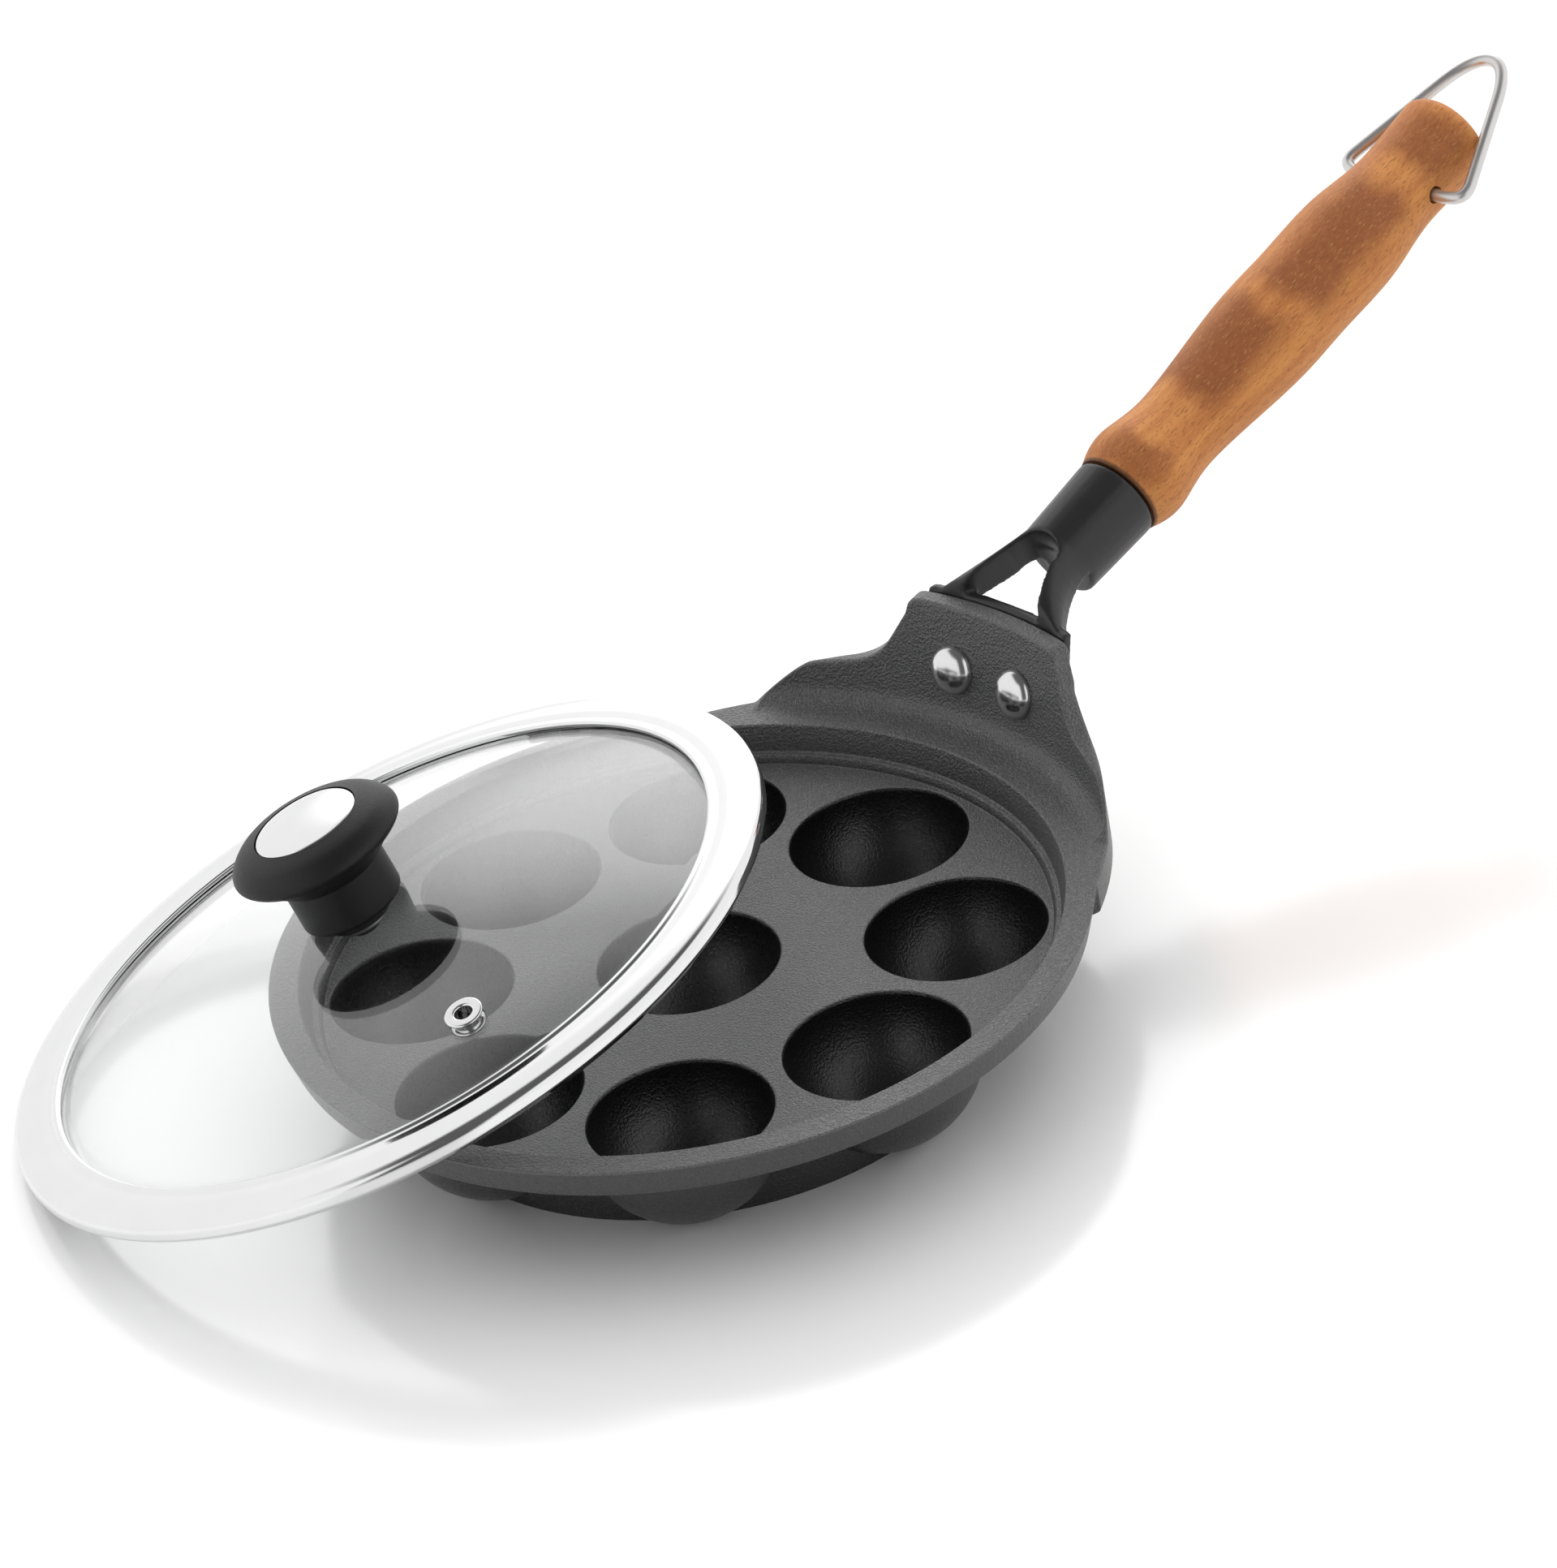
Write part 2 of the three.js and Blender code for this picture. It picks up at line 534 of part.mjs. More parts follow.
// Grip, turned about the handle's axis, with a tenon in the ferrule
const gripStart = FERRULE_START + FERRULE_LENGTH + SEAT_GAP;
const gripEnd = gripStart + GRIP_LENGTH;
const loopHole = gripEnd - LOOP_HOLE_INSET;
function gripBody() {
  const at = (share) => gripStart + share * GRIP_LENGTH;
  const outline = new THREE.SplineCurve([
    new THREE.Vector2(FERRULE_RADIUS, gripStart),
    new THREE.Vector2(GRIP_BEAD_RADIUS, at(0.06)),
    new THREE.Vector2(GRIP_NECK_RADIUS, at(0.18)),
    new THREE.Vector2(GRIP_BELLY_RADIUS, at(0.41)),
    new THREE.Vector2(GRIP_BELLY_RADIUS, at(0.55)),
    new THREE.Vector2(GRIP_BELLY_RADIUS, at(0.69)),
    new THREE.Vector2(GRIP_WAIST_RADIUS, at(0.83)),
    new THREE.Vector2(GRIP_END_RADIUS, gripEnd - GRIP_END_ROUND),
  ]);
  const tenon = FERRULE_RADIUS - FERRULE_WALL - SLIP_FIT;
  const tenonEnd = gripStart - SOCKET_DEPTH;
  const pilot = SCREW_RADIUS + SLIP_FIT;
  const pilotEnd = tenonEnd + SCREW_LENGTH;
  const side = outline.getPoints(21).map((point) => [point.x, point.y]);
  const round = GRIP_END_ROUND;
  const nose = arc(GRIP_END_RADIUS - round, gripEnd - round, round, 0, Math.PI / 2, 3);
  const blank = turned([
    [0, pilotEnd],
    [pilot, pilotEnd],
    [pilot, tenonEnd],
    [tenon, tenonEnd],
    [tenon, gripStart],
    ...side,
    ...nose.slice(1),
    [0, gripEnd],
  ], TURNED_FACETS).applyMatrix4(FACING_X);
  const radius = WIRE_RADIUS + LOOP_FIT;
  const hole = new THREE.CylinderGeometry(radius, radius, 4 * GRIP_BELLY_RADIUS, SMALL_FACETS);
  return solid(blank).subtract(solid(hole.translate(loopHole, 0, 0)));
}

function gripScrew() {
  const seat = screwSeat - SEAT_GAP;
  const socket = FERRULE_START + FERRULE_LENGTH - SOCKET_DEPTH;
  const slot = SCREW_HEAD_HEIGHT / 2;
  const tip = socket + SCREW_LENGTH - 2 * SCREW_RADIUS;
  const screw = turned([
    [0, seat - SCREW_HEAD_HEIGHT],
    [SCREW_HEAD_RADIUS * 0.7, seat - SCREW_HEAD_HEIGHT],
    [SCREW_HEAD_RADIUS, seat - SCREW_HEAD_HEIGHT / 2],
    [SCREW_HEAD_RADIUS, seat],
    [SCREW_RADIUS, seat],
    [SCREW_RADIUS, tip],
    [0, tip + SCREW_RADIUS],
  ], SMALL_FACETS).applyMatrix4(FACING_X);
  const width = SCREW_HEAD_HEIGHT / 2;
  const cut = new THREE.BoxGeometry(slot * 2, SCREW_HEAD_RADIUS * 3, width);
  return solid(screw).subtract(solid(cut.translate(seat - SCREW_HEAD_HEIGHT, 0, 0)));
}

// Hanging loop: one wire whose two ends meet inside the cross hole, lying in its own XY plane
function hangingLoop() {
  const at = (x, y) => new THREE.Vector3(x, y, 0);
  const mirror = (point) => at(point.x, -point.y);
  const tip = LOOP_TIP_WIDTH / 2;
  const legStart = at(LOOP_CORNER, LOOP_HALF_WIDTH);
  const legEnd = at(LOOP_LENGTH - LOOP_TIP_ROUND, tip);
  const taper = (LOOP_HALF_WIDTH - tip) / (LOOP_LENGTH - LOOP_CORNER - LOOP_TIP_ROUND);
  const onLeg = (x) => at(x, LOOP_HALF_WIDTH - taper * (x - LOOP_CORNER));
  const wireEnd = at(0, WIRE_RADIUS);
  const bendStart = at(0, LOOP_HALF_WIDTH - 1.2 * LOOP_CORNER);
  const bendOut = at(0, LOOP_HALF_WIDTH - 0.2 * LOOP_CORNER);
  const bendIn = onLeg(LOOP_CORNER / 4);
  const farCorner = onLeg(LOOP_LENGTH);
  const far = at(LOOP_LENGTH, 0);
  const route = new THREE.CurvePath();
  route.add(new THREE.LineCurve3(wireEnd, bendStart));
  route.add(new THREE.CubicBezierCurve3(bendStart, bendOut, bendIn, legStart));
  route.add(new THREE.LineCurve3(legStart, legEnd));
  route.add(new THREE.QuadraticBezierCurve3(legEnd, farCorner, far));
  route.add(new THREE.QuadraticBezierCurve3(far, mirror(farCorner), mirror(legEnd)));
  route.add(new THREE.LineCurve3(mirror(legEnd), mirror(legStart)));
  const back = [legStart, bendIn, bendOut, bendStart].map(mirror);
  route.add(new THREE.CubicBezierCurve3(...back));
  route.add(new THREE.LineCurve3(mirror(bendStart), mirror(wireEnd)));
  const section = new THREE.Shape().absarc(0, 0, WIRE_RADIUS, 0, 2 * Math.PI);
  return new THREE.ExtrudeGeometry(section, { steps: 60, extrudePath: route, curveSegments: 4 });
}

// Lid: its own Z is its axis, with zero on the seat that stands on the pan's rim
const lipOutside = RECESS_RADIUS - LID_FIT - RECESS_DRAFT * LID_LIP / (RIM_RISE - STEP_RISE);
const lipInside = lipOutside - BAND_THICK;
const bandInside = LID_RADIUS - BAND_WIDTH;
const bandTop = (radius) => BAND_HEIGHT + BAND_SLOPE * (LID_RADIUS - radius) / BAND_WIDTH;
const glassEdge = bandInside + GLASS_TUCK;
const glassShoulder = bandTop(bandInside) - BAND_THICK - SEAT_GAP;
const glassTop = glassShoulder + GLASS_RISE;
const domeRadius = (bandInside ** 2 + GLASS_RISE ** 2) / (2 * GLASS_RISE);
const domeHeight = (radius) => glassTop - domeRadius + Math.sqrt(domeRadius ** 2 - radius ** 2);

function lidRim() {
  const bend = [LID_RADIUS - BAND_CORNER, BAND_HEIGHT - BAND_CORNER];
  const sheet = BAND_THICK;
  return turnedRing([
    [lipInside, -LID_LIP],
    [lipOutside, -LID_LIP],
    [lipOutside, 0],
    [LID_RADIUS - BAND_BEVEL, 0],
    [LID_RADIUS, BAND_BEVEL],
    ...arc(...bend, BAND_CORNER, 0, Math.PI / 2, 3),
    [bandInside, bandTop(bandInside)],
    [bandInside, bandTop(bandInside) - sheet],
    ...arc(...bend, BAND_CORNER - sheet, Math.PI / 2, 0, 2),
    [LID_RADIUS - sheet, BAND_BEVEL + sheet / 2],
    [LID_RADIUS - BAND_BEVEL - sheet / 2, sheet],
    [lipInside, sheet],
  ], LID_FACETS);
}

function lidGlass() {
  const steps = 7;
  const bore = KNOB_SCREW_RADIUS + 2 * SLIP_FIT;
  const margin = glassShoulder - BAND_SLOPE * GLASS_TUCK / BAND_WIDTH;
  const top = [];
  for (let i = 0; i <= steps; i += 1) {
    const radius = bore + (bandInside - bore) * (1 - i / steps);
    top.push([radius, domeHeight(radius)]);
  }
  const under = top.map(([radius, height]) => [radius, height - GLASS_THICK]).reverse();
  const glass = turnedRing([
    ...under,
    [glassEdge, margin - GLASS_THICK],
    [glassEdge, margin],
    ...top,
  ], LID_FACETS);
  const hole = VENT_BARREL_RADIUS + SLIP_FIT;
  const drill = turned([[0, -glassTop], [hole, -glassTop], [hole, glassTop], [0, glassTop]], SMALL_FACETS);
  return solid(glass).subtract(solid(drill.applyMatrix4(ventFrame())));
}

// The vent stands square to the dome.
function ventFrame() {
  const slope = Math.asin(VENT_RADIUS / domeRadius);
  const square = new THREE.Matrix4().makeRotationY(slope);
  square.setPosition(VENT_RADIUS, 0, domeHeight(VENT_RADIUS));
  return new THREE.Matrix4().makeRotationZ(VENT_BEARING).multiply(square);
}

function ventEyelet() {
  const seat = 2 * SEAT_GAP;
  const below = -GLASS_THICK - seat;
  const flat = VENT_FLANGE_THICK;
  const edge = VENT_FLANGE_RADIUS - flat / 2;
  return turnedRing([
    [VENT_BORE_RADIUS, below - flat],
    [edge, below - flat],
    [VENT_FLANGE_RADIUS, below - flat / 2],
    [edge, below],
    [VENT_BARREL_RADIUS, below],
    [VENT_BARREL_RADIUS, seat],
    [edge, seat],
    [VENT_FLANGE_RADIUS, seat + flat / 2],
    [edge, seat + flat],
    [VENT_BORE_RADIUS + flat / 2, seat + flat],
    [VENT_BORE_RADIUS, seat + flat / 2],
  ], SMALL_FACETS);
}

// Knob: a moulded mushroom with a polished cap, held from below by a screw in a threaded insert
const knobFoot = glassTop + SEAT_GAP;
function knobBody() {
  const z = (share) => knobFoot + share * KNOB_HEIGHT;
  const edge = KNOB_STEM_RADIUS - KNOB_FOOT_RADIUS;
  const brim = new THREE.SplineCurve([
    new THREE.Vector2(KNOB_STEM_RADIUS, z(0.46)),
    new THREE.Vector2((KNOB_STEM_RADIUS + KNOB_RADIUS) / 2, z(0.61)),
    new THREE.Vector2(KNOB_RADIUS, z(0.76)),
    new THREE.Vector2((2 * KNOB_RADIUS + KNOB_CAP_RADIUS) / 3, z(0.92)),
    new THREE.Vector2(KNOB_CAP_RADIUS + SLIP_FIT, z(1)),
  ]).getPoints(14).map((point) => [point.x, point.y]);
  const capSeat = z(1) - KNOB_CAP_THICK;
  const insertTop = knobFoot + INSERT_LENGTH + SEAT_GAP;
  return turned([
    [0, insertTop],
    [INSERT_RADIUS + SLIP_FIT, insertTop],
    [INSERT_RADIUS + SLIP_FIT, knobFoot],
    [KNOB_FOOT_RADIUS, knobFoot],
    [KNOB_STEM_RADIUS, knobFoot + edge],
    ...brim,
    [KNOB_CAP_RADIUS + SLIP_FIT, capSeat],
    [0, capSeat],
  ], TURNED_FACETS);
}

function knobCap() {
  const seat = knobFoot + KNOB_HEIGHT - KNOB_CAP_THICK + SEAT_GAP;
  const top = knobFoot + KNOB_HEIGHT;
  return turned([
    [0, seat],
    [KNOB_CAP_RADIUS, seat],
    [KNOB_CAP_RADIUS, top - SEAT_GAP],
    [KNOB_CAP_RADIUS - KNOB_CAP_CROWN / 2, top],
    [KNOB_CAP_RADIUS / 2, top + KNOB_CAP_CROWN * 0.75],
    [0, top + KNOB_CAP_CROWN],
  ], TURNED_FACETS);
}

function knobInsert() {
  const bore = KNOB_SCREW_RADIUS + SLIP_FIT;
  return turnedRing([
    [bore, knobFoot],
    [INSERT_RADIUS, knobFoot],
    [INSERT_RADIUS, knobFoot + INSERT_LENGTH],
    [bore, knobFoot + INSERT_LENGTH],
  ], SMALL_FACETS);
}

const gasketTop = glassTop - GLASS_THICK - SEAT_GAP;
const washerTop = gasketTop - GASKET_THICK - SEAT_GAP;
const knobScrewSeat = washerTop - WASHER_THICK - SEAT_GAP;
function washer(radius, top, thick) {
  const bore = KNOB_SCREW_RADIUS + SLIP_FIT;
  return turnedRing([[bore, top - thick], [radius, top - thick], [radius, top], [bore, top]], SMALL_FACETS);
}

function knobScrew() {
  const low = knobScrewSeat - KNOB_SCREW_HEAD_HEIGHT;
  const screw = turned([
    [0, low],
    [KNOB_SCREW_HEAD_RADIUS * 0.7, low],
    [KNOB_SCREW_HEAD_RADIUS, knobScrewSeat - KNOB_SCREW_HEAD_HEIGHT / 2],
    [KNOB_SCREW_HEAD_RADIUS, knobScrewSeat],
    [KNOB_SCREW_RADIUS, knobScrewSeat],
    [KNOB_SCREW_RADIUS, knobFoot + KNOB_SCREW_REACH],
    [0, knobFoot + KNOB_SCREW_REACH],
  ], SMALL_FACETS);
  const slot = KNOB_SCREW_HEAD_HEIGHT / 2;
  const cross = (length, width) => solid(new THREE.BoxGeometry(length, width, slot * 2).translate(0, 0, low));
  const reach = KNOB_SCREW_HEAD_RADIUS;
  return solid(screw).subtract(cross(reach, slot)).subtract(cross(slot, reach));
}

// The lid leans with its low edge on the floor and its lip across the pan's rim.
function lidPlace() {
  const [sine, cosine] = [Math.sin(LID_LEAN), Math.cos(LID_LEAN)];
  const height = Math.max(LID_LIP * cosine + lipOutside * sine, (LID_RADIUS - BAND_BEVEL) * sine);
  const climb = (RIM_TOP + SEAT_GAP - (height - LID_LIP * cosine)) / sine;
  const crossing = Math.sqrt(PAN_RADIUS ** 2 - lipInside ** 2 + climb ** 2);
  const away = crossing + climb * cosine + LID_LIP * sine;
  return new THREE.Vector3(away * Math.cos(LID_BEARING), away * Math.sin(LID_BEARING), height);
}

// Finishes
const nonStick = finish(0x3b3b3d, 0.62, 0.2);
const satinBlack = finish(0x2b2b2d, 0.4, 0.5);
const beech = finish(0xb87a42, 0.55, 0);
const polishedSteel = finish(0xd6d8da, 0.12, 1);
const wireSteel = finish(0xc9c6c2, 0.3, 1);
const clearGlass = finish(0xdfe6e6, 0.05, 0);
const knobPlastic = finish(0x1f1f21, 0.5, 0);
const brass = finish(0xb8954a, 0.35, 1);
const rubber = finish(0x1a1a1a, 0.8, 0);

// Assembly
const pan = new THREE.Group();
pan.add(piece('pan_body', panBody(), nonStick));
pan.add(piece('handle_bracket', bracketBody(), satinBlack));
for (const [name, sign] of [['rivet_left', 1], ['rivet_right', -1]]) {
  const mesh = piece(name, solid(rivet()), polishedSteel.clone());
  mesh.applyMatrix4(rivetFrame(sign));
  pan.add(mesh);
}

const handle = new THREE.Group();
handle.applyMatrix4(handleFrame);
handle.add(piece('handle_grip', gripBody(), beech));
handle.add(piece('grip_screw', gripScrew(), polishedSteel.clone()));
const loop = piece('hanging_loop', solid(hangingLoop()), wireSteel);
loop.position.x = loopHole;
loop.rotation.y = -LOOP_LIFT;
handle.add(loop);

const lid = new THREE.Group();
lid.position.copy(lidPlace());
lid.rotation.set(0, LID_LEAN, LID_BEARING, 'ZYX');
lid.add(piece('lid_rim', solid(lidRim()), polishedSteel.clone()));
lid.add(piece('lid_glass', lidGlass(), clearGlass));
const vent = piece('vent_eyelet', solid(ventEyelet()), polishedSteel.clone());
vent.applyMatrix4(ventFrame());
lid.add(vent);
lid.add(piece('knob_body', solid(knobBody()), knobPlastic));
lid.add(piece('knob_cap', solid(knobCap()), polishedSteel.clone()));
lid.add(piece('knob_insert', solid(knobInsert()), brass));
lid.add(piece('knob_gasket', solid(washer(GASKET_RADIUS, gasketTop, GASKET_THICK)), rubber));
lid.add(piece('knob_washer', solid(washer(WASHER_RADIUS, washerTop, WASHER_THICK)), polishedSteel.clone()));
lid.add(piece('knob_screw', knobScrew(), polishedSteel.clone()));

const assembly = new THREE.Group();
assembly.add(pan, handle, lid);
export default assembly;
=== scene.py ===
# %% [markdown]
# # A paniyaram pan, its wooden grip and its leaning glass lid
# The pan is a dark casting with nine round cavities. A black bracket is riveted to the tab on its rim
# and holds a turned beech grip with a wire loop. A domed glass lid with a steel rim leans on the pan.
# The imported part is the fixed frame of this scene. Each piece that shows is modelled again with finer
# curves, in the same place and with the same sizes, and gets its finish from shader nodes.

import math

import bmesh
import bpy
import numpy as np
from mathutils import Matrix, Vector


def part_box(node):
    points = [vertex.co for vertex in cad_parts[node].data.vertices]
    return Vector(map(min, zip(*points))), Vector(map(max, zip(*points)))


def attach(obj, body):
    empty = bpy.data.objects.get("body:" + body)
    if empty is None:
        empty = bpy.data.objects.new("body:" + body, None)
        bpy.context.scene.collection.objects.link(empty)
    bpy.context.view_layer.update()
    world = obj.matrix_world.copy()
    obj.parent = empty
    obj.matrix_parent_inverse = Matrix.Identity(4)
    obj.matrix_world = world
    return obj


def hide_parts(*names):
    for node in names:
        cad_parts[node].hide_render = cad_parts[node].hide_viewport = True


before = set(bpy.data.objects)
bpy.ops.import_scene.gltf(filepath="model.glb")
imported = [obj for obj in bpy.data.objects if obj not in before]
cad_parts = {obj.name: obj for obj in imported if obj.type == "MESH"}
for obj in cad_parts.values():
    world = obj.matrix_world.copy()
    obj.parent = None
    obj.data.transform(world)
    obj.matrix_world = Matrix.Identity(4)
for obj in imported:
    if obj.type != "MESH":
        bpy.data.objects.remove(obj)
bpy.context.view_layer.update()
print("nodes:", ", ".join(sorted(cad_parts)))

# %% [markdown]
# ## Outlines
# Most pieces are turned or swept, so they start as an outline of a few points in millimetres. A cast or
# rolled edge is never sharp, so each corner of an outline can have its own rounding.

# %% Curves and outlines
MM = 0.001


def bezier(start, control, end, steps):
    """Points on a quadratic curve, both ends included."""
    start, control, end = (np.array(point, float) for point in (start, control, end))
    s = np.linspace(0, 1, steps + 1)[:, None]
    return (1 - s) ** 2 * start + 2 * s * (1 - s) * control + s ** 2 * end


def rounded(corners, steps=5):
    """An outline from (x, y) or (x, y, rounding) corners. The first and last corners stay sharp."""
    points = [np.array(corners[0][:2], float)]
    for before, corner, after in zip(corners, corners[1:], corners[2:]):
        here = np.array(corner[:2], float)
        if len(corner) == 2:
            points.append(here)
            continue
        reach = []
        for other in (before, after):
            way = np.array(other[:2], float) - here
            length = np.linalg.norm(way)
            reach.append(here + way / length * min(corner[2], 0.48 * length))
        points.extend(bezier(reach[0], here, reach[1], steps))
    points.append(np.array(corners[-1][:2], float))
    return np.array(points)


def spline(knots, steps):
    """A smooth curve through all knots, as a wood turner follows a pattern."""
    knots = np.array(knots, float)
    ends = np.vstack([knots[0], knots, knots[-1]])
    points = []
    for a, b, c, d in zip(ends, ends[1:], ends[2:], ends[3:]):
        for s in np.arange(steps) / steps:
            middle = 2 * b + (c - a) * s + (2 * a - 5 * b + 4 * c - d) * s ** 2
            points.append((middle + (3 * b - a - 3 * c + d) * s ** 3) / 2)
    return np.array(points + [knots[-1]])


print("a rounded square corner:", rounded([(0, 0), (1, 0, 0.5), (1, 1)], 2).round(2).tolist())

# %% [markdown]
# ## Meshes
# A loft joins rings of points with four-sided faces. Turning an outline about an axis is a loft whose
# rings are circles. Rings that shrink to one point are merged, so a dome closes cleanly at its top.

# %% Loft and turn
MERGE_DISTANCE = 1e-6


def new_piece(name, mesh):
    piece = bpy.data.objects.new(name, mesh)
    bpy.context.scene.collection.objects.link(piece)
    return piece


def loft(name, rings, closed=False, place=None):
    """Joins rings of points, in millimetres, into one closed mesh."""
    bm = bmesh.new()
    place = place or Matrix()
    rows = [[bm.verts.new(place @ (Vector(point) * MM)) for point in ring] for ring in rings]
    pairs = list(zip(rows, rows[1:]))
    if closed:
        pairs.append((rows[-1], rows[0]))
    else:
        bm.faces.new(rows[0][::-1])
        bm.faces.new(rows[-1])
    for low, high in pairs:
        for i in range(len(low)):
            bm.faces.new((low[i - 1], low[i], high[i], high[i - 1]))
    bmesh.ops.remove_doubles(bm, verts=bm.verts, dist=MERGE_DISTANCE)
    bmesh.ops.recalc_face_normals(bm, faces=bm.faces)
    mesh = bpy.data.meshes.new(name)
    bm.to_mesh(mesh)
    bm.free()
    return new_piece(name, mesh)


def turn(name, outline, steps, closed=False, place=None):
    """Turns an outline of (radius, height) points about Z."""
    angles = np.linspace(0, 2 * np.pi, steps, endpoint=False)
    rings = []
    for radius, height in outline:
        flat = [radius * np.cos(angles), radius * np.sin(angles), 0 * angles + height]
        rings.append(np.stack(flat, 1))
    return loft(name, rings, closed, place)


print("loft and turn ready")

# %% [markdown]
# ## Shader nodes as arithmetic
# A finish is easier to read as a formula than as a list of links. A Value wraps one socket and turns
# plus, minus, times and divide into Math nodes. Every other node comes from one method, which takes the
# node's type, its settings and what goes into its sockets.

# %% The Value and Finish classes
class Value:
    """A socket of a node tree that takes part in Python arithmetic."""

    def __init__(self, finish, socket):
        self.finish, self.socket = finish, socket

    def math(self, operation, first, second):
        return self.finish.node("ShaderNodeMath", {"operation": operation}, {0: first, 1: second})

    def __add__(self, other):
        return self.math("ADD", self, other)

    def __sub__(self, other):
        return self.math("SUBTRACT", self, other)

    def __rsub__(self, other):
        return self.math("SUBTRACT", other, self)

    def __mul__(self, other):
        return self.math("MULTIPLY", self, other)

    def __truediv__(self, other):
        return self.math("DIVIDE", self, other)

    def __rtruediv__(self, other):
        return self.math("DIVIDE", other, self)

    __radd__ = __add__
    __rmul__ = __mul__


class Finish:
    """A node tree, with one method that adds any node to it."""

    def __init__(self, tree):
        self.tree = tree
        tree.nodes.clear()

    def node(self, kind, settings=None, sockets=None, output=0):
        made = self.tree.nodes.new(kind)
        for name, value in (settings or {}).items():
            setattr(made, name, value)
        for name, value in (sockets or {}).items():
            if isinstance(value, Value):
                self.tree.links.new(value.socket, made.inputs[name])
            else:
                made.inputs[name].default_value = value
        return Value(self, made.outputs[output]) if made.outputs else made

    def place(self):
        """Where a point is on the piece, in metres."""
        return self.node("ShaderNodeTexCoord", {}, {}, "Object")

    def axis(self, vector, letter):
        return self.node("ShaderNodeSeparateXYZ", {}, {"Vector": vector}, letter)

    def along(self, vector, way):
        """How far a vector reaches in a given direction."""
        settings = {"operation": "DOT_PRODUCT"}
        return self.node("ShaderNodeVectorMath", settings, {0: vector, 1: way}, "Value")

    def seen(self):
        """1 where the camera, a reflection or a view through glass looks, 0 for rays that only light."""
        rays = ("Is Camera Ray", "Is Glossy Ray", "Is Transmission Ray")
        total = sum(self.node("ShaderNodeLightPath", {}, {}, ray) for ray in rays)
        return self.node("ShaderNodeClamp", {}, {"Value": total})

    def stretch(self, vector, scale, turn=(0, 0, 0)):
        return self.node("ShaderNodeMapping", {}, {"Vector": vector, "Rotation": turn, "Scale": scale})

    def noise(self, vector, scale, detail=2, roughness=0.5):
        sockets = {"Vector": vector, "Scale": scale, "Detail": detail, "Roughness": roughness}
        return self.node("ShaderNodeTexNoise", {}, sockets, "Fac")

    def step(self, value, low, high):
        """0 below low, 1 above high, and a soft rise between them."""
        sockets = {"Value": value, "From Min": low, "From Max": high}
        return self.node("ShaderNodeMapRange", {"interpolation_type": "SMOOTHSTEP"}, sockets)

    def colour(self, factor, first, second):
        """The first colour where the factor is 0, the second where it is 1."""
        first, second = (c if isinstance(c, Value) else (*c, 1) for c in (first, second))
        return self.node("ShaderNodeMix", {"data_type": "RGBA"}, {0: factor, 6: first, 7: second}, 2)

    def bump(self, height, depth, strength):
        sockets = {"Height": height, "Distance": depth, "Strength": strength}
        return self.node("ShaderNodeBump", {}, sockets)

    def coat(self, **sockets):
        """A Principled shader; Base_Color stands for its socket Base Color, and so on."""
        named = {name.replace("_", " "): value for name, value in sockets.items()}
        if "Specular" in named:
            named["Specular IOR Level"] = named.pop("Specular")
        return self.node("ShaderNodeBsdfPrincipled", {}, named)

    def show(self, shader):
        self.node("ShaderNodeOutputMaterial", {}, {"Surface": shader})

    def surface(self, **sockets):
        """One coat all over the piece."""
        self.show(self.coat(**sockets))


def new_finish(name):
    material = bpy.data.materials.new(name)
    material.use_nodes = True
    return material, Finish(material.node_tree)


print("shader helpers ready")

# %% [markdown]
# ## The camera
# The photograph was taken from well above the rim with a long lens, a little rolled. The camera is given
# by where it stands and by the directions of its picture's right side and lower side. The focal length
# is known in picture points, so it is turned into millimetres on a sensor as wide as the picture.

# %% Camera
PICTURE_WIDTH = 1919
FOCAL_POINTS = 8036.7
SENSOR_WIDTH = 36.0
CAMERA_AT = (-838.46, -1112.09, 907.14)
PICTURE_RIGHT = (0.71204, -0.68373, -0.15972)
PICTURE_DOWN = (-0.45911, -0.28127, -0.84268)

right, down = Vector(PICTURE_RIGHT).normalized(), Vector(PICTURE_DOWN)
down = (down - down.dot(right) * right).normalized()
axes = Matrix((right, -down, right.cross(-down))).transposed()
lens = bpy.data.cameras.new("camera")
lens.sensor_fit, lens.sensor_width = "HORIZONTAL", SENSOR_WIDTH
lens.lens = SENSOR_WIDTH * FOCAL_POINTS / PICTURE_WIDTH
lens.clip_end = 20
camera = bpy.data.objects.new("camera", lens)
camera.matrix_world = Matrix.Translation(Vector(CAMERA_AT) * MM) @ axes.to_4x4()
bpy.context.scene.collection.objects.link(camera)
bpy.context.scene.camera = camera
print(f"lens of {lens.lens:.1f} mm")

# %% [markdown]
# ## Studio light
# The picture is high key: a white sweep behind the pan, white screens on both sides and a dark room on
# the viewer's side. Such a tent lights softly from everywhere, so the world itself is the light and no
# lamp throws a hard shadow. Rays that only light find it brighter behind the pan and on the right. Rays
# that are seen find plain white, with the dark room on the viewer's side and overhead between the
# screens. It gives the steel its dark lines and each cavity its dark middle between two soft lights. A
# soft glow low behind the pan lays a pale veil over the far half of the glass.

# %% World
WORLD_LIGHT, BACK_SHARE, RIGHT_SHARE, GLOW = 1.10, 0.55, 0.15, 1.0
SCREEN_WHITE, ROOM_DARK = (1.0, 1.0, 1.0), (0.11, 0.11, 0.112)
VIEWER_SIDE, SCREEN_SIDE = (-0.62, -0.785, 0), (0.721, -0.693, 0)
GLOW_WAY, GLOW_EDGE = (0.644, 0.667, 0.375), (0.905, 0.99)

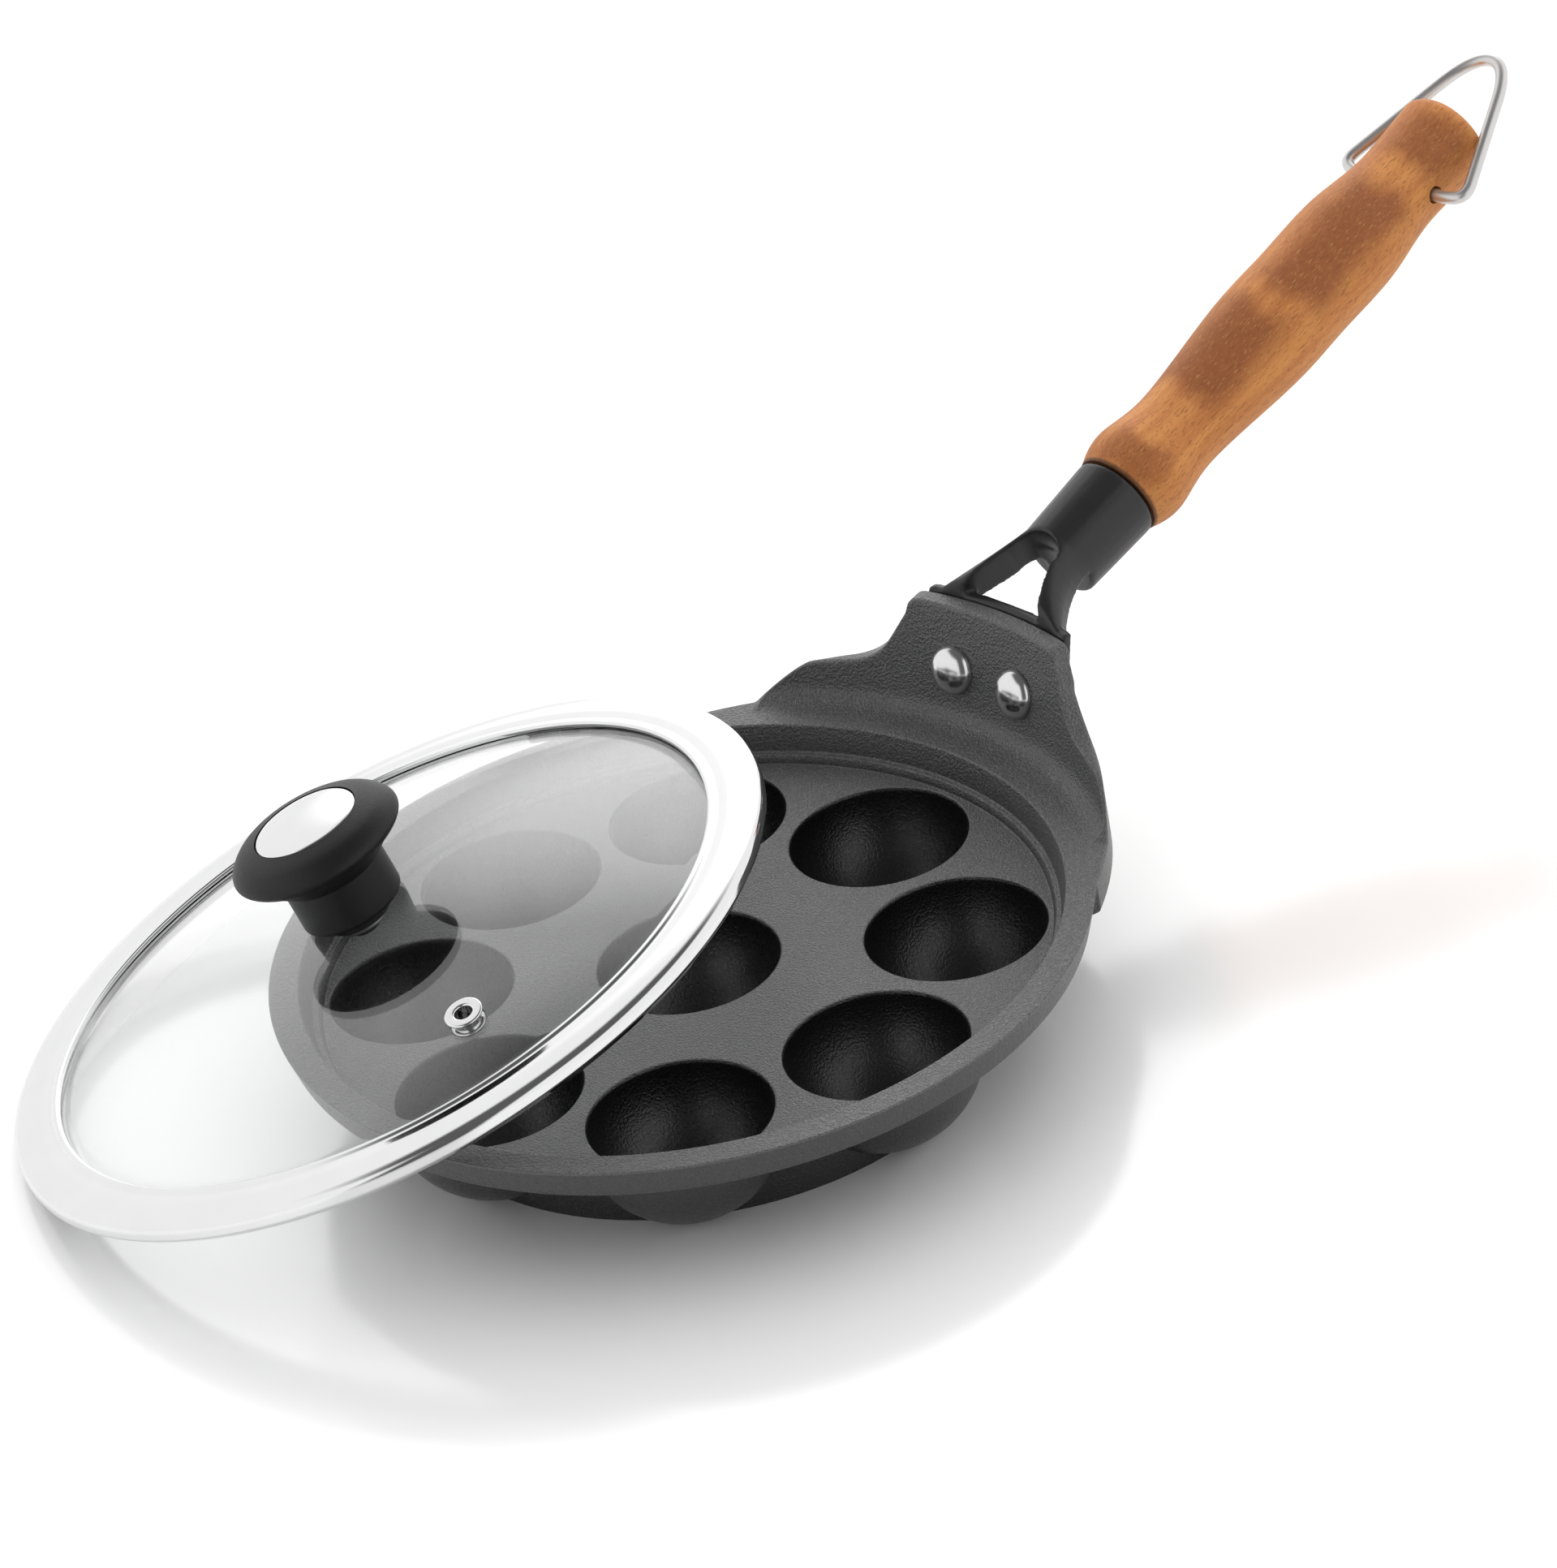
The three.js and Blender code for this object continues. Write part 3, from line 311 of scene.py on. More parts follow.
# Where the dark room starts and where it is full, as parts of a direction
FRONT_SIDES, FRONT_DEPTH = (0.035, 0.16), (-0.40, -0.05)
TOP_SIDES, TOP_HEIGHT = (0.20, 0.50), (0.68, 0.88)

bpy.context.scene.view_settings.view_transform = "Standard"
world = bpy.data.worlds.new("studio")
world.use_nodes = True
bpy.context.scene.world = world
studio = Finish(world.node_tree)
direction = studio.node("ShaderNodeTexCoord", {}, {}, "Generated")
sideways = studio.along(direction, SCREEN_SIDE)
towards = studio.along(direction, VIEWER_SIDE)
height = studio.axis(direction, "Z")
aside = sideways * sideways
front_gap = (1 - studio.step(aside, *FRONT_SIDES)) * studio.step(towards, *FRONT_DEPTH)
top_gap = (1 - studio.step(aside, *TOP_SIDES)) * studio.step(height, *TOP_HEIGHT)
room = 1 - (1 - front_gap) * (1 - top_gap)
sky = studio.colour(room * studio.seen(), SCREEN_WHITE, ROOM_DARK)
glow = GLOW * studio.step(studio.along(direction, GLOW_WAY), *GLOW_EDGE)
lighting = WORLD_LIGHT * (1 - BACK_SHARE * towards + RIGHT_SHARE * sideways)
strength = lighting + (1 - lighting) * studio.seen() + glow
backdrop = studio.node("ShaderNodeBackground", {}, {"Color": sky, "Strength": strength})
studio.node("ShaderNodeOutputWorld", {}, {"Surface": backdrop})
print("studio light:", WORLD_LIGHT)

# %% [markdown]
# ## The floor
# The pan stands on a glossy white board that mirrors it faintly. A high index of refraction gives that
# mirror image, and the white under it keeps the soft shadow. A slight unevenness in the gloss lets the
# image of what stands high above the board fade away.

# %% Floor
FLOOR_HALF = 5000

floor_mesh = bpy.data.meshes.new("floor")
half = FLOOR_HALF * MM
corners = [(-half, -half, 0), (half, -half, 0), (half, half, 0), (-half, half, 0)]
floor_mesh.from_pydata(corners, [], [(0, 1, 2, 3)])
floor = new_piece("floor", floor_mesh)
white_board, f = new_finish("white_board")
ripple = f.noise(f.place(), 6, 1)
f.surface(Base_Color=(0.96, 0.96, 0.96, 1), Roughness=0.13 + 0.04 * ripple, IOR=2.1)
floor_mesh.materials.append(white_board)
print("floor", 2 * FLOOR_HALF * MM, "m wide")

# %% [markdown]
# ## The pan's casting
# The casting is a shallow dish with a step, a recess and a flat rim, and its rim grows into a tab for
# the handle. A lathe can't give the tab, so the outline is worked out anew for each direction round the
# pan: where there is no tab, its part of the outline shrinks into the rim's edge. The cavities and the
# bowls under them are then cut and added.

# %% Sizes of the casting
CAVITY_RADIUS, CAVITY_LIP, CAVITY_RING, CAVITY_COUNT = 23.2, 1.0, 68.18, 8
BOWL_RADIUS, PLATE_TOP, PLATE_UNDER = 26.8, 26.0, 22.0
PLATE_RADIUS, LEDGE_RADIUS, RECESS_FOOT, RECESS_RADIUS, PAN_RADIUS = 92.98, 93.98, 95.18, 97.28, 104.98
LEDGE_TOP, RIM_TOP, RIM_FOOT, RIM_DRAFT, UNDER_STEP = 28.3, 35.6, 27.4, 2.4, 24.7
BASE_RING = [(69.98, 0), (74.98, 0), (77.98, 24), (66.98, 24)]
TAB_SET_OUT, TAB_THICK, TAB_LEAN, TAB_FILLET = 4.2, 5.0, math.radians(14), 6.6
TAB_BLEND, TAB_FULL = math.radians(47), math.radians(15)
EDGE_ROUND = 1.0

# The tab's outline from the front, as (half width, height) from its foot to its top
TAB_FOOT, TAB_SHOULDER, TAB_WING = (65, 35.6), (52, 46), (42, 47.25)
TAB_NECK, TAB_CORNER, TAB_TOP = (31.5, 54.6), (27.3, 62.0), (23.4, 66.2)


def tab_front(z):
    return PAN_RADIUS + TAB_SET_OUT + (z - RIM_TOP) * math.tan(TAB_LEAN)


def tab_back(z):
    return tab_front(z) + TAB_THICK / math.cos(TAB_LEAN)


outline = np.vstack([
    bezier(TAB_FOOT, ((TAB_FOOT[0] + 3 * TAB_SHOULDER[0]) / 4, TAB_SHOULDER[1]), TAB_SHOULDER, 16),
    bezier(TAB_WING, ((TAB_WING[0] + 2 * TAB_NECK[0]) / 3, TAB_WING[1] + TAB_THICK / 4), TAB_NECK, 16),
    bezier(TAB_CORNER, (TAB_CORNER[0], TAB_TOP[1]), TAB_TOP, 12),
])
outline_angles = np.arcsin(outline[:, 0] / tab_front(outline[:, 1]))
print(f"tab from {np.degrees(outline_angles[0]):.1f} to {np.degrees(outline_angles[-1]):.1f} degrees")

# %% [markdown]
# ## One outline for each direction
# Seen from above, the rim's edge swells into the tab in a smooth curve. For each direction an outline
# goes from the plate's underside round the rim, up the tab's back, over its top and down its front into
# the recess. All outlines have the same number of points, so that they can be joined.

# %% Outline of the casting in one direction
def polar(radius, angle):
    return radius * math.cos(angle), radius * math.sin(angle)


sweep = bezier(polar(PAN_RADIUS, TAB_BLEND),
               polar(tab_back(TAB_SHOULDER[1]), (TAB_BLEND + TAB_FULL) / 2),
               polar(tab_back(TAB_NECK[1]), TAB_FULL), 40)[::-1]
sweep_angles = np.arctan2(sweep[:, 1], sweep[:, 0])
sweep_radii = np.hypot(sweep[:, 0], sweep[:, 1])
fillet_start = PAN_RADIUS + TAB_SET_OUT - TAB_FILLET / math.tan((math.pi / 2 + TAB_LEAN) / 2)
fillet_top = RIM_TOP + TAB_FILLET * (1 - math.sin(TAB_LEAN))


def outer_radius(z, angle):
    wall = PAN_RADIUS - RIM_DRAFT * max(0, RIM_TOP - z) / (RIM_TOP - RIM_FOOT)
    if abs(angle) >= TAB_BLEND:
        return wall
    limit = 2 * PAN_RADIUS
    if abs(angle) > TAB_FULL:
        limit = np.interp(abs(angle), sweep_angles, sweep_radii)
    return max(wall, min(tab_back(z), limit))


def inner_radius(z):
    """The tab's front, with its fillet into the rim's flat top."""
    if z >= fillet_top:
        return tab_front(z)
    rise = RIM_TOP + TAB_FILLET - z
    return fillet_start + math.sqrt(max(0, TAB_FILLET ** 2 - rise ** 2))


def casting_outline(angle):
    top = np.interp(abs(angle), outline_angles[::-1], outline[::-1, 1])
    top = top if abs(angle) < outline_angles[0] else RIM_TOP
    back, front = (outer_radius(top, angle), top), (inner_radius(top), top)
    edge = min(EDGE_ROUND, 0.45 * (back[0] - front[0]))
    below = max(top - edge, RIM_TOP)
    points = list(rounded([(PLATE_RADIUS, PLATE_UNDER), (RECESS_RADIUS, UNDER_STEP, 2),
                           (outer_radius(RIM_FOOT, angle), RIM_FOOT, 1.2),
                           (outer_radius(RIM_FOOT + 2, angle), RIM_FOOT + 2)]))
    for z in np.linspace(RIM_FOOT + 2, top - edge, 14)[1:-1]:
        points.append((outer_radius(z, angle), z))
    points.extend(bezier((outer_radius(top - edge, angle), top - edge), back, (back[0] - edge, top), 4))
    points.extend(bezier((front[0] + edge, top), front, (inner_radius(below), below), 4))
    for share in np.linspace(1, 0, 22)[1:] ** 1.5:
        z = RIM_TOP + (below - RIM_TOP) * share
        points.append((inner_radius(z), z))
    points.extend(rounded([(fillet_start - 1, RIM_TOP), (RECESS_RADIUS, RIM_TOP, 0.6),
                           (RECESS_FOOT, LEDGE_TOP, 0.5), (LEDGE_RADIUS, LEDGE_TOP, 0.4),
                           (PLATE_RADIUS, PLATE_TOP, 0.4), (PLATE_RADIUS - 1, PLATE_TOP)]))
    return np.array(points)


print("points in one outline:", len(casting_outline(0.0)), len(casting_outline(2.0)))

# %% [markdown]
# ## Cutting and joining
# Bowls and cavities come from booleans: a tool is added to a piece or cut out of it, and the result is
# kept as a plain mesh. Smooth shading with sharp edges kept, and normals weighted by area, make round
# faces look round and flat faces look flat.

# %% Join, combine and smooth
def join(pieces):
    """Puts the meshes of several pieces into the first one."""
    bm = bmesh.new()
    for piece in pieces:
        bm.from_mesh(piece.data)
    bm.to_mesh(pieces[0].data)
    bm.free()
    for piece in pieces[1:]:
        bpy.data.objects.remove(piece)
    return pieces[0]


def settle(piece):
    """Replaces a piece's mesh by what its modifiers make of it."""
    ready = piece.evaluated_get(bpy.context.evaluated_depsgraph_get())
    mesh = bpy.data.meshes.new_from_object(ready)
    piece.modifiers.clear()
    piece.data = mesh
    return piece


def combine(piece, tool, operation):
    """Cuts a tool out of a piece, or adds it, and removes the tool."""
    step = piece.modifiers.new("combine", "BOOLEAN")
    step.object, step.operation, step.solver = tool, operation, "MANIFOLD"
    settle(piece)
    bpy.data.objects.remove(tool)
    return piece


def smooth(piece, sharp_degrees=40, weighted=True):
    mesh = piece.data
    mesh.polygons.foreach_set("use_smooth", [True] * len(mesh.polygons))
    mesh.set_sharp_from_angle(angle=math.radians(sharp_degrees))
    if weighted:
        even = piece.modifiers.new("even normals", "WEIGHTED_NORMAL")
        even.keep_sharp = True
    return piece


print("joining helpers ready")

# %% [markdown]
# ## Cavities and bowls
# Each cavity is half a ball with a small rounded lip, and under it the metal follows as a bowl, so the
# wall is even and bakes evenly. The base ring on which the pan stands is added first, then the bowls,
# and all nine cavities are cut in one go.

# %% Casting, cavities and bowls
angles = np.concatenate([np.linspace(-TAB_BLEND, TAB_BLEND, 221)[:-1],
                         np.linspace(TAB_BLEND, 2 * np.pi - TAB_BLEND, 141)[:-1]])
outlines = [casting_outline(angle if angle < np.pi else angle - 2 * np.pi) for angle in angles]
rings = []
for level in zip(*outlines):
    rings.append([(r * math.cos(a), r * math.sin(a), z) for (r, z), a in zip(level, angles)])
casting = loft("pan_casting", rings)

centres = [(0, 0)]
for i in range(CAVITY_COUNT):
    centres.append(polar(CAVITY_RING, 2 * math.pi * i / CAVITY_COUNT))


def arc(x, y, radius, start, end, steps):
    turns = np.linspace(start, end, steps + 1)
    return np.stack([x + radius * np.cos(turns), y + radius * np.sin(turns)], 1)


def bowl(x, y):
    low = math.acos(PLATE_TOP / BOWL_RADIUS) - math.pi / 2
    side = arc(0, PLATE_TOP, BOWL_RADIUS, low, -0.12, 14)
    place = Matrix.Translation(Vector((x, y, 0)) * MM)
    return turn("bowl", [(0, side[0][1]), *side, (0, side[-1][1])], 72, place=place)


def cavity(x, y):
    mouth, lip_level = CAVITY_RADIUS + CAVITY_LIP, PLATE_TOP - CAVITY_LIP + 0.02
    wall_end = -math.asin(CAVITY_LIP / CAVITY_RADIUS)
    wall = arc(0, PLATE_TOP, CAVITY_RADIUS, -math.pi / 2, wall_end, 24)
    lip = arc(mouth, lip_level, CAVITY_LIP, math.pi, math.pi / 2, 5)
    above = [(mouth, LEDGE_TOP), (0, LEDGE_TOP)]
    place = Matrix.Translation(Vector((x, y, 0)) * MM)
    return turn("cavity", [*wall, *lip[1:], *above], 96, place=place)


base_ring = turn("base_ring", BASE_RING, 144, closed=True)
combine(casting, base_ring, "UNION")
for x, y in centres:
    combine(casting, bowl(x, y), "UNION")
combine(casting, join([cavity(x, y) for x, y in centres]), "DIFFERENCE")
smooth(casting, 38)
print("casting:", len(casting.data.polygons), "faces")

# %% [markdown]
# ## Where shade is painted
# Shade is painted into the coat: darkest in the cavities, and dark under the pan, on the outer wall and
# on the recess wall, where little light reaches. Plate and rim get no painted shade, and their coat is
# rougher.
# A number at each point of the mesh says how much painted shade lies there, so that it follows the form
# and needs no picture.

# %% Mark the painted shade
# How much shade is painted under the pan, on the outer wall and on the recess wall; the cavities get full
# painted shade (1).
UNDER_DARK, OUTSIDE_DARK, WALL_DARK = 0.85, 0.6, 0.5
WALL_MIDDLE, WALL_HALF = 96.2, 0.9
NEAR = 0.5

points = np.array([vertex.co for vertex in casting.data.vertices]) / MM
radii, heights = np.hypot(points[:, 0], points[:, 1]), points[:, 2]
inside, recess_wall = radii < PLATE_RADIUS, abs(radii - WALL_MIDDLE) < WALL_HALF
dark = np.zeros(len(points))
dark[heights < RIM_FOOT - NEAR] = UNDER_DARK
dark[(radii > PAN_RADIUS - RIM_DRAFT - NEAR) & (heights < RIM_TOP - 0.6)] = OUTSIDE_DARK
dark[inside] = UNDER_DARK * (heights[inside] < PLATE_UNDER + NEAR)
dark[recess_wall & (heights > LEDGE_TOP + 0.2) & (heights < RIM_TOP - 0.2)] = WALL_DARK
for x, y in centres:
    in_cavity = np.linalg.norm(points - (x, y, PLATE_TOP), axis=1) < CAVITY_RADIUS + 0.6
    dark[in_cavity & (heights < PLATE_TOP - 0.2)] = 1
# The painted shade is kept on the mesh, one number for each point.
casting.data.attributes.new("painted_shade", "FLOAT", "POINT").data.foreach_set("value", dark)
print("points in the cavities:", int((dark == 1).sum()))

# %% [markdown]
# ## Dressing a piece
# The imported part is a frame of nodes and moving bodies. A finished piece takes the place of a node,
# which is hidden, hangs on the body that carries it and gets its finish in its material slot. Its box is
# compared with its solid's.

# %% Dress a piece
def dress(piece, node, body, material):
    """Hides the node a piece stands for, hangs the piece on the body it moves with and gives it its
    finish.
    """
    piece.data.materials.clear()
    piece.data.materials.append(material)
    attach(piece, body)
    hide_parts(node)
    low, high = (np.array(corner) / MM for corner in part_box(node))
    points = np.array([piece.matrix_world @ vertex.co for vertex in piece.data.vertices]) / MM
    over = max((low - points.min(0)).max(), (points.max(0) - high).max())
    print(f"{piece.name}: {len(piece.data.polygons)} faces, {over:+.2f} mm outside its solid's box")
    return piece


print("dressing helper ready")

# %% [markdown]
# ## Finish of the casting
# The coating is charcoal with a fine pebbled texture that shows as tiny glints on the flat plate. In the
# cavities it is smoother, with finer pebbles, and shade is painted into it. A noise with its tops and
# hollows pressed flat gives the pebbles, a finer one the specks on them and a coarser one the unevenness
# of the plate. The plain coat and a near-black coat of painted shade are two shaders, and the
# painted-shade mark left on the mesh mixes them.

# %% Non-stick coating
non_stick, f = new_finish("non_stick")
place = f.place()
# Painted shade: how much of it lies at each point, read from the mark on the mesh.
dark = f.node("ShaderNodeAttribute", {"attribute_name": "painted_shade"}, {}, "Fac")
pebble = f.step(f.noise(place, 1500, 1, 0.6), 0.34, 0.68)
speck = f.noise(place, 2600, 1, 0.6)
coarse = f.noise(place, 800, 1, 0.6)
cloud = f.noise(place, 30, 3, 0.5)
plate_tone = f.colour(f.step(speck, 0.42, 0.72), (0.052, 0.052, 0.053), (0.135, 0.135, 0.137))
plate_tone = f.colour(0.5 * cloud, plate_tone, (0.070, 0.070, 0.072))
rough = 0.37 - 0.08 * pebble + 0.08 * speck
relief = (pebble + 0.5 * speck) * (1 - 0.68 * dark) + 0.9 * coarse * (1 - dark)
relief = f.bump(relief, 0.00017, 0.9)
pale = f.coat(Base_Color=plate_tone, Roughness=rough, Specular=1.0, Normal=relief)
# Painted shade: a near-black coat, mixed in where the mesh is marked as shaded.
painted_shade_tone = (0.003, 0.003, 0.0032, 1)
shaded_coat = f.coat(Base_Color=painted_shade_tone, Roughness=rough - 0.06, Specular=0.68, Normal=relief)
f.show(f.node("ShaderNodeMixShader", {}, {0: dark, 1: pale, 2: shaded_coat}))
dress(casting, "pan_body", "pan", non_stick)

# %% [markdown]
# ## The bracket
# The bracket is cast too, with soft edges where its arms run into the ferrule. Its solid has the right
# form with sharp edges, so a copy of its mesh is remeshed into even small faces and relaxed, which
# rounds every edge as casting and painting do. The screw that holds the grip sits at the window's round
# end. It was filled and painted over, so a plug with the window's curve closes the hole above its head.

# %% Bracket
HANDLE_AT = (121.11, 0, 62.7)
HANDLE_PITCH = math.radians(17.3)
WINDOW_END, WINDOW_ROUND = 24.0, 8.0
PLUG_HALF, PLUG_SKIN, PLUG_DEPTH = 4.6, 0.4, 3.0
REMESH_SIZE = 0.0005
RELAX_ROUNDS = 14

handle = Matrix.Translation(Vector(HANDLE_AT) * MM) @ Matrix.Rotation(-HANDLE_PITCH, 4, "Y")
bracket = new_piece("bracket_casting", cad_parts["handle_bracket"].data.copy())
corner = (WINDOW_END, -WINDOW_ROUND)
face = bezier((WINDOW_END - WINDOW_ROUND, -WINDOW_ROUND), corner, (WINDOW_END, 0), 24) - (PLUG_SKIN, 0)
face = face[face[:, 1] > -PLUG_HALF]
face = np.vstack([face, (face * (1, -1))[::-1][1:]])
section = [(WINDOW_END + PLUG_DEPTH, face[0][1]), *face, (WINDOW_END + PLUG_DEPTH, face[-1][1])]
plug = loft("plug", [[(x, y, z) for x, y in section] for z in (-PLUG_HALF, PLUG_HALF)], place=handle)
join([bracket, plug])
remesh = bracket.modifiers.new("even faces", "REMESH")
remesh.mode, remesh.voxel_size = "VOXEL", REMESH_SIZE
relax = bracket.modifiers.new("relax", "SMOOTH")
relax.factor, relax.iterations = 0.5, RELAX_ROUNDS
settle(bracket)
smooth(bracket, 180, weighted=False)

satin_black, f = new_finish("satin_black")
place = f.place()
orange_peel = f.noise(place, 700, 2, 0.5)
mottle = f.noise(place, 60, 2, 0.5)
tone = f.colour(mottle, (0.011, 0.011, 0.012), (0.019, 0.019, 0.020))
f.surface(Base_Color=tone, Roughness=0.30 + 0.14 * mottle, Normal=f.bump(orange_peel, 0.00008, 0.5))
dress(bracket, "handle_bracket", "pan", satin_black)

# %% [markdown]
# ## Polished steel
# Lid rim, vent and knob disc are polished steel, and the rivets are only buffed. A plain mirror would
# look like plastic chrome, so the roughness changes a little over the surface, as buffing leaves it.
# Drawn wire and zinc plating are the same steel with more roughness and other marks.

# %% Steel finishes
def steel(name, tone, roughness, lines, depth):
    """Polished steel; lines gives the scale of its buffing marks along the three axes."""
    material, f = new_finish(name)
    place = f.place()
    haze = f.noise(place, 70, 3, 0.6)
    marks = f.noise(f.stretch(place, lines), 1, 2, 0.6)
    colour = f.colour(haze, tone, tuple(0.93 * part for part in tone))
    rough = roughness * (0.7 + 0.6 * haze) + 0.05 * (marks - 0.5)
    f.surface(Base_Color=colour, Metallic=1.0, Roughness=rough, Normal=f.bump(marks, depth, 0.25))
    return material


polished = steel("polished_steel", (0.86, 0.86, 0.865), 0.08, (900, 900, 900), 0.00001)
buffed = steel("buffed_steel", (0.80, 0.80, 0.805), 0.18, (900, 900, 900), 0.00001)
drawn_wire = steel("drawn_wire", (0.74, 0.725, 0.71), 0.40, (2600, 400, 2600), 0.00004)
dull_zinc = steel("dull_zinc", (0.13, 0.13, 0.135), 0.45, (1500, 1500, 1500), 0.00003)
plated = steel("plated_steel", (0.60, 0.60, 0.61), 0.30, (1500, 1500, 1500), 0.00003)
print("steels:", polished.name, buffed.name, drawn_wire.name, dull_zinc.name, plated.name)

# %% [markdown]
# ## Rivets
# Two dome-headed rivets stand square to the tab, each on its own direction from the pan's middle. They
# are turned about their own axis and then placed.

# %% Rivets
RIVET_HALF_SPACING, RIVET_LEVEL = 11.5, 14.0
RIVET_HEAD, RIVET_HEAD_RISE, RIVET_SHANK = 6.6, 3.8, 2.6
RIVET_TAIL, RIVET_TAIL_RISE, RIVET_GRIP = 4.6, 1.8, 8.51
SEAT_GAP = 0.3

rivet_radius = tab_front(RIM_TOP + RIVET_LEVEL)
rivet_angle = math.asin(RIVET_HALF_SPACING / rivet_radius)
dome = []
for a in np.linspace(0, 1.5, 14):
    dome.append((RIVET_HEAD * math.sin(a), -SEAT_GAP - RIVET_HEAD_RISE * math.cos(a)))
stem = [(RIVET_HEAD, -SEAT_GAP), (RIVET_SHANK, -SEAT_GAP),
        (RIVET_SHANK, RIVET_GRIP), (RIVET_TAIL, RIVET_GRIP),
        (0.8 * RIVET_TAIL, RIVET_GRIP + 0.8 * RIVET_TAIL_RISE), (0, RIVET_GRIP + RIVET_TAIL_RISE)]
outwards = Matrix.Rotation(math.pi / 2, 4, "Y")
stand = Matrix.Translation(Vector((rivet_radius, 0, RIM_TOP + RIVET_LEVEL)) * MM)
stand = stand @ Matrix.Rotation(TAB_LEAN, 4, "Y") @ outwards
for side, sign in (("left", 1), ("right", -1)):
    place = Matrix.Rotation(sign * rivet_angle, 4, "Z") @ stand
    rivet = smooth(turn(f"rivet_dome_{side}", [*dome, *stem], 48, place=place))
    dress(rivet, f"rivet_{side}", "pan", buffed)

# %% [markdown]
# ## The grip
# The grip is turned beech: a bead next to the ferrule, a neck, a long belly and a waist where the loop
# passes through. Its outline is a smooth curve through a few radii. The cross hole is cut afterwards.

# %% Grip
GRIP_START, GRIP_LENGTH, GRIP_END_ROUND = 49.3, 146.0, 3.5
TENON_RADIUS, TENON_LENGTH, PILOT_RADIUS, PILOT_DEPTH = 9.6, 19.0, 2.3, 20.0
GRIP_RADII = [(0, 12.3), (0.06, 14.4), (0.18, 12.4), (0.41, 15.0), (0.55, 15.0), (0.69, 15.0),
              (0.83, 12.6)]  # (share of the length, radius)
GRIP_END_RADIUS = 13.4
HOLE_RADIUS, HOLE_INSET = 2.45, 22.0

grip_end = GRIP_START + GRIP_LENGTH
hole_at = grip_end - HOLE_INSET
along_x = Matrix.Rotation(math.pi / 2, 4, "Y")
knots = [(radius, GRIP_START + share * GRIP_LENGTH) for share, radius in GRIP_RADII]
knots.append((GRIP_END_RADIUS, grip_end - GRIP_END_ROUND))
side = spline(knots, 12)
nose_at = (GRIP_END_RADIUS - GRIP_END_ROUND, grip_end - GRIP_END_ROUND)
nose = arc(*nose_at, GRIP_END_ROUND, 0, math.pi / 2, 8)
tenon_end = GRIP_START - TENON_LENGTH
inside = [(0, tenon_end + PILOT_DEPTH), (PILOT_RADIUS, tenon_end + PILOT_DEPTH),
          (PILOT_RADIUS, tenon_end), (TENON_RADIUS, tenon_end), (TENON_RADIUS, GRIP_START)]
grip = turn("grip_turned", [*inside, *side, *nose[1:], (0, grip_end)], 96, place=handle @ along_x)
hole_place = handle @ Matrix.Translation(Vector((hole_at, 0, 0)) * MM)
across = hole_place @ Matrix.Rotation(math.pi / 2, 4, "X")
drill = turn("drill", [(0, -30), (HOLE_RADIUS, -30), (HOLE_RADIUS, 30), (0, 30)], 40, place=across)
combine(grip, drill, "DIFFERENCE")
smooth(grip)
print("grip:", len(grip.data.polygons), "faces")

# %% [markdown]
# ## Beech
# Beech is plain and amber, with many short dark flecks along the grain. This grip was stained, and the
# stain stayed in soft brown patches on its swellings. The noises are stretched along the grip, so the
# finish first turns the point into the grip's own directions. Each patch is given by where it starts and
# ends along the grip and across it, and a noise shifts its edges.

# %% Wood finish
BELLY_RADIUS = 15.0
GRIP_ACROSS = (0.212, -0.699, -0.682)

# Stained patches: strength, start and end along the grip in mm, left and right across it, softness in mm
STAINS = [(0.95, 80, 112, -0.95, 0.25, 4), (0.95, 119, 163, -0.75, 0.42, 5),
          (0.85, 174, 190, -0.70, 0.45, 4), (0.75, 50, 61, -0.80, 0.30, 3)]

beech, f = new_finish("beech")
place = f.place()
grip_way = Vector((math.cos(HANDLE_PITCH), 0, math.sin(HANDLE_PITCH)))
grip_across = Vector(GRIP_ACROSS)
turned = f.stretch(place, (1, 1, 1), turn=(0, HANDLE_PITCH, 0))
u = (f.along(place, grip_way) - grip_way.dot(Vector(HANDLE_AT)) * MM) / MM
q = (f.along(place, grip_across) - grip_across.dot(Vector(HANDLE_AT)) * MM) / (BELLY_RADIUS * MM)
grain = f.noise(f.stretch(turned, (18, 260, 260)), 1, 4, 0.6)
fleck = f.noise(f.stretch(turned, (420, 2100, 2100)), 1, 1, 0.5)
# Painted highlights: fine specks along the grain, for tiny glints on the finish.
glint_speck = f.noise(f.stretch(turned, (500, 3600, 3600)), 1, 1, 0.5)
cloud = f.noise(f.stretch(turned, (55, 80, 80)), 1, 3, 0.55)
blotch = f.noise(f.stretch(turned, (420, 700, 700)), 1, 2, 0.6)
wood = f.colour(f.step(grain, 0.30, 0.70), (0.54, 0.184, 0.043), (0.70, 0.290, 0.076))
shifted_u, shifted_q = u + 12 * (cloud - 0.5), q + 0.5 * (cloud - 0.5)


def between(value, low, high, soft):
    """1 between low and high, with soft edges."""
    return f.step(value, low - soft, low + soft) * (1 - f.step(value, high - soft, high + soft))


stain = sum(share * between(shifted_u, start, end, soft) * between(shifted_q, left, right, 0.3)
            for share, start, end, left, right, soft in STAINS)
stain = f.node("ShaderNodeClamp", {}, {"Value": stain * (0.72 + 0.5 * blotch) + 0.10 * grain})
wood = f.colour(stain, wood, (0.315, 0.094, 0.023))
wood = f.colour(0.48 * f.step(fleck, 0.55, 0.70), wood, (0.22, 0.062, 0.015))
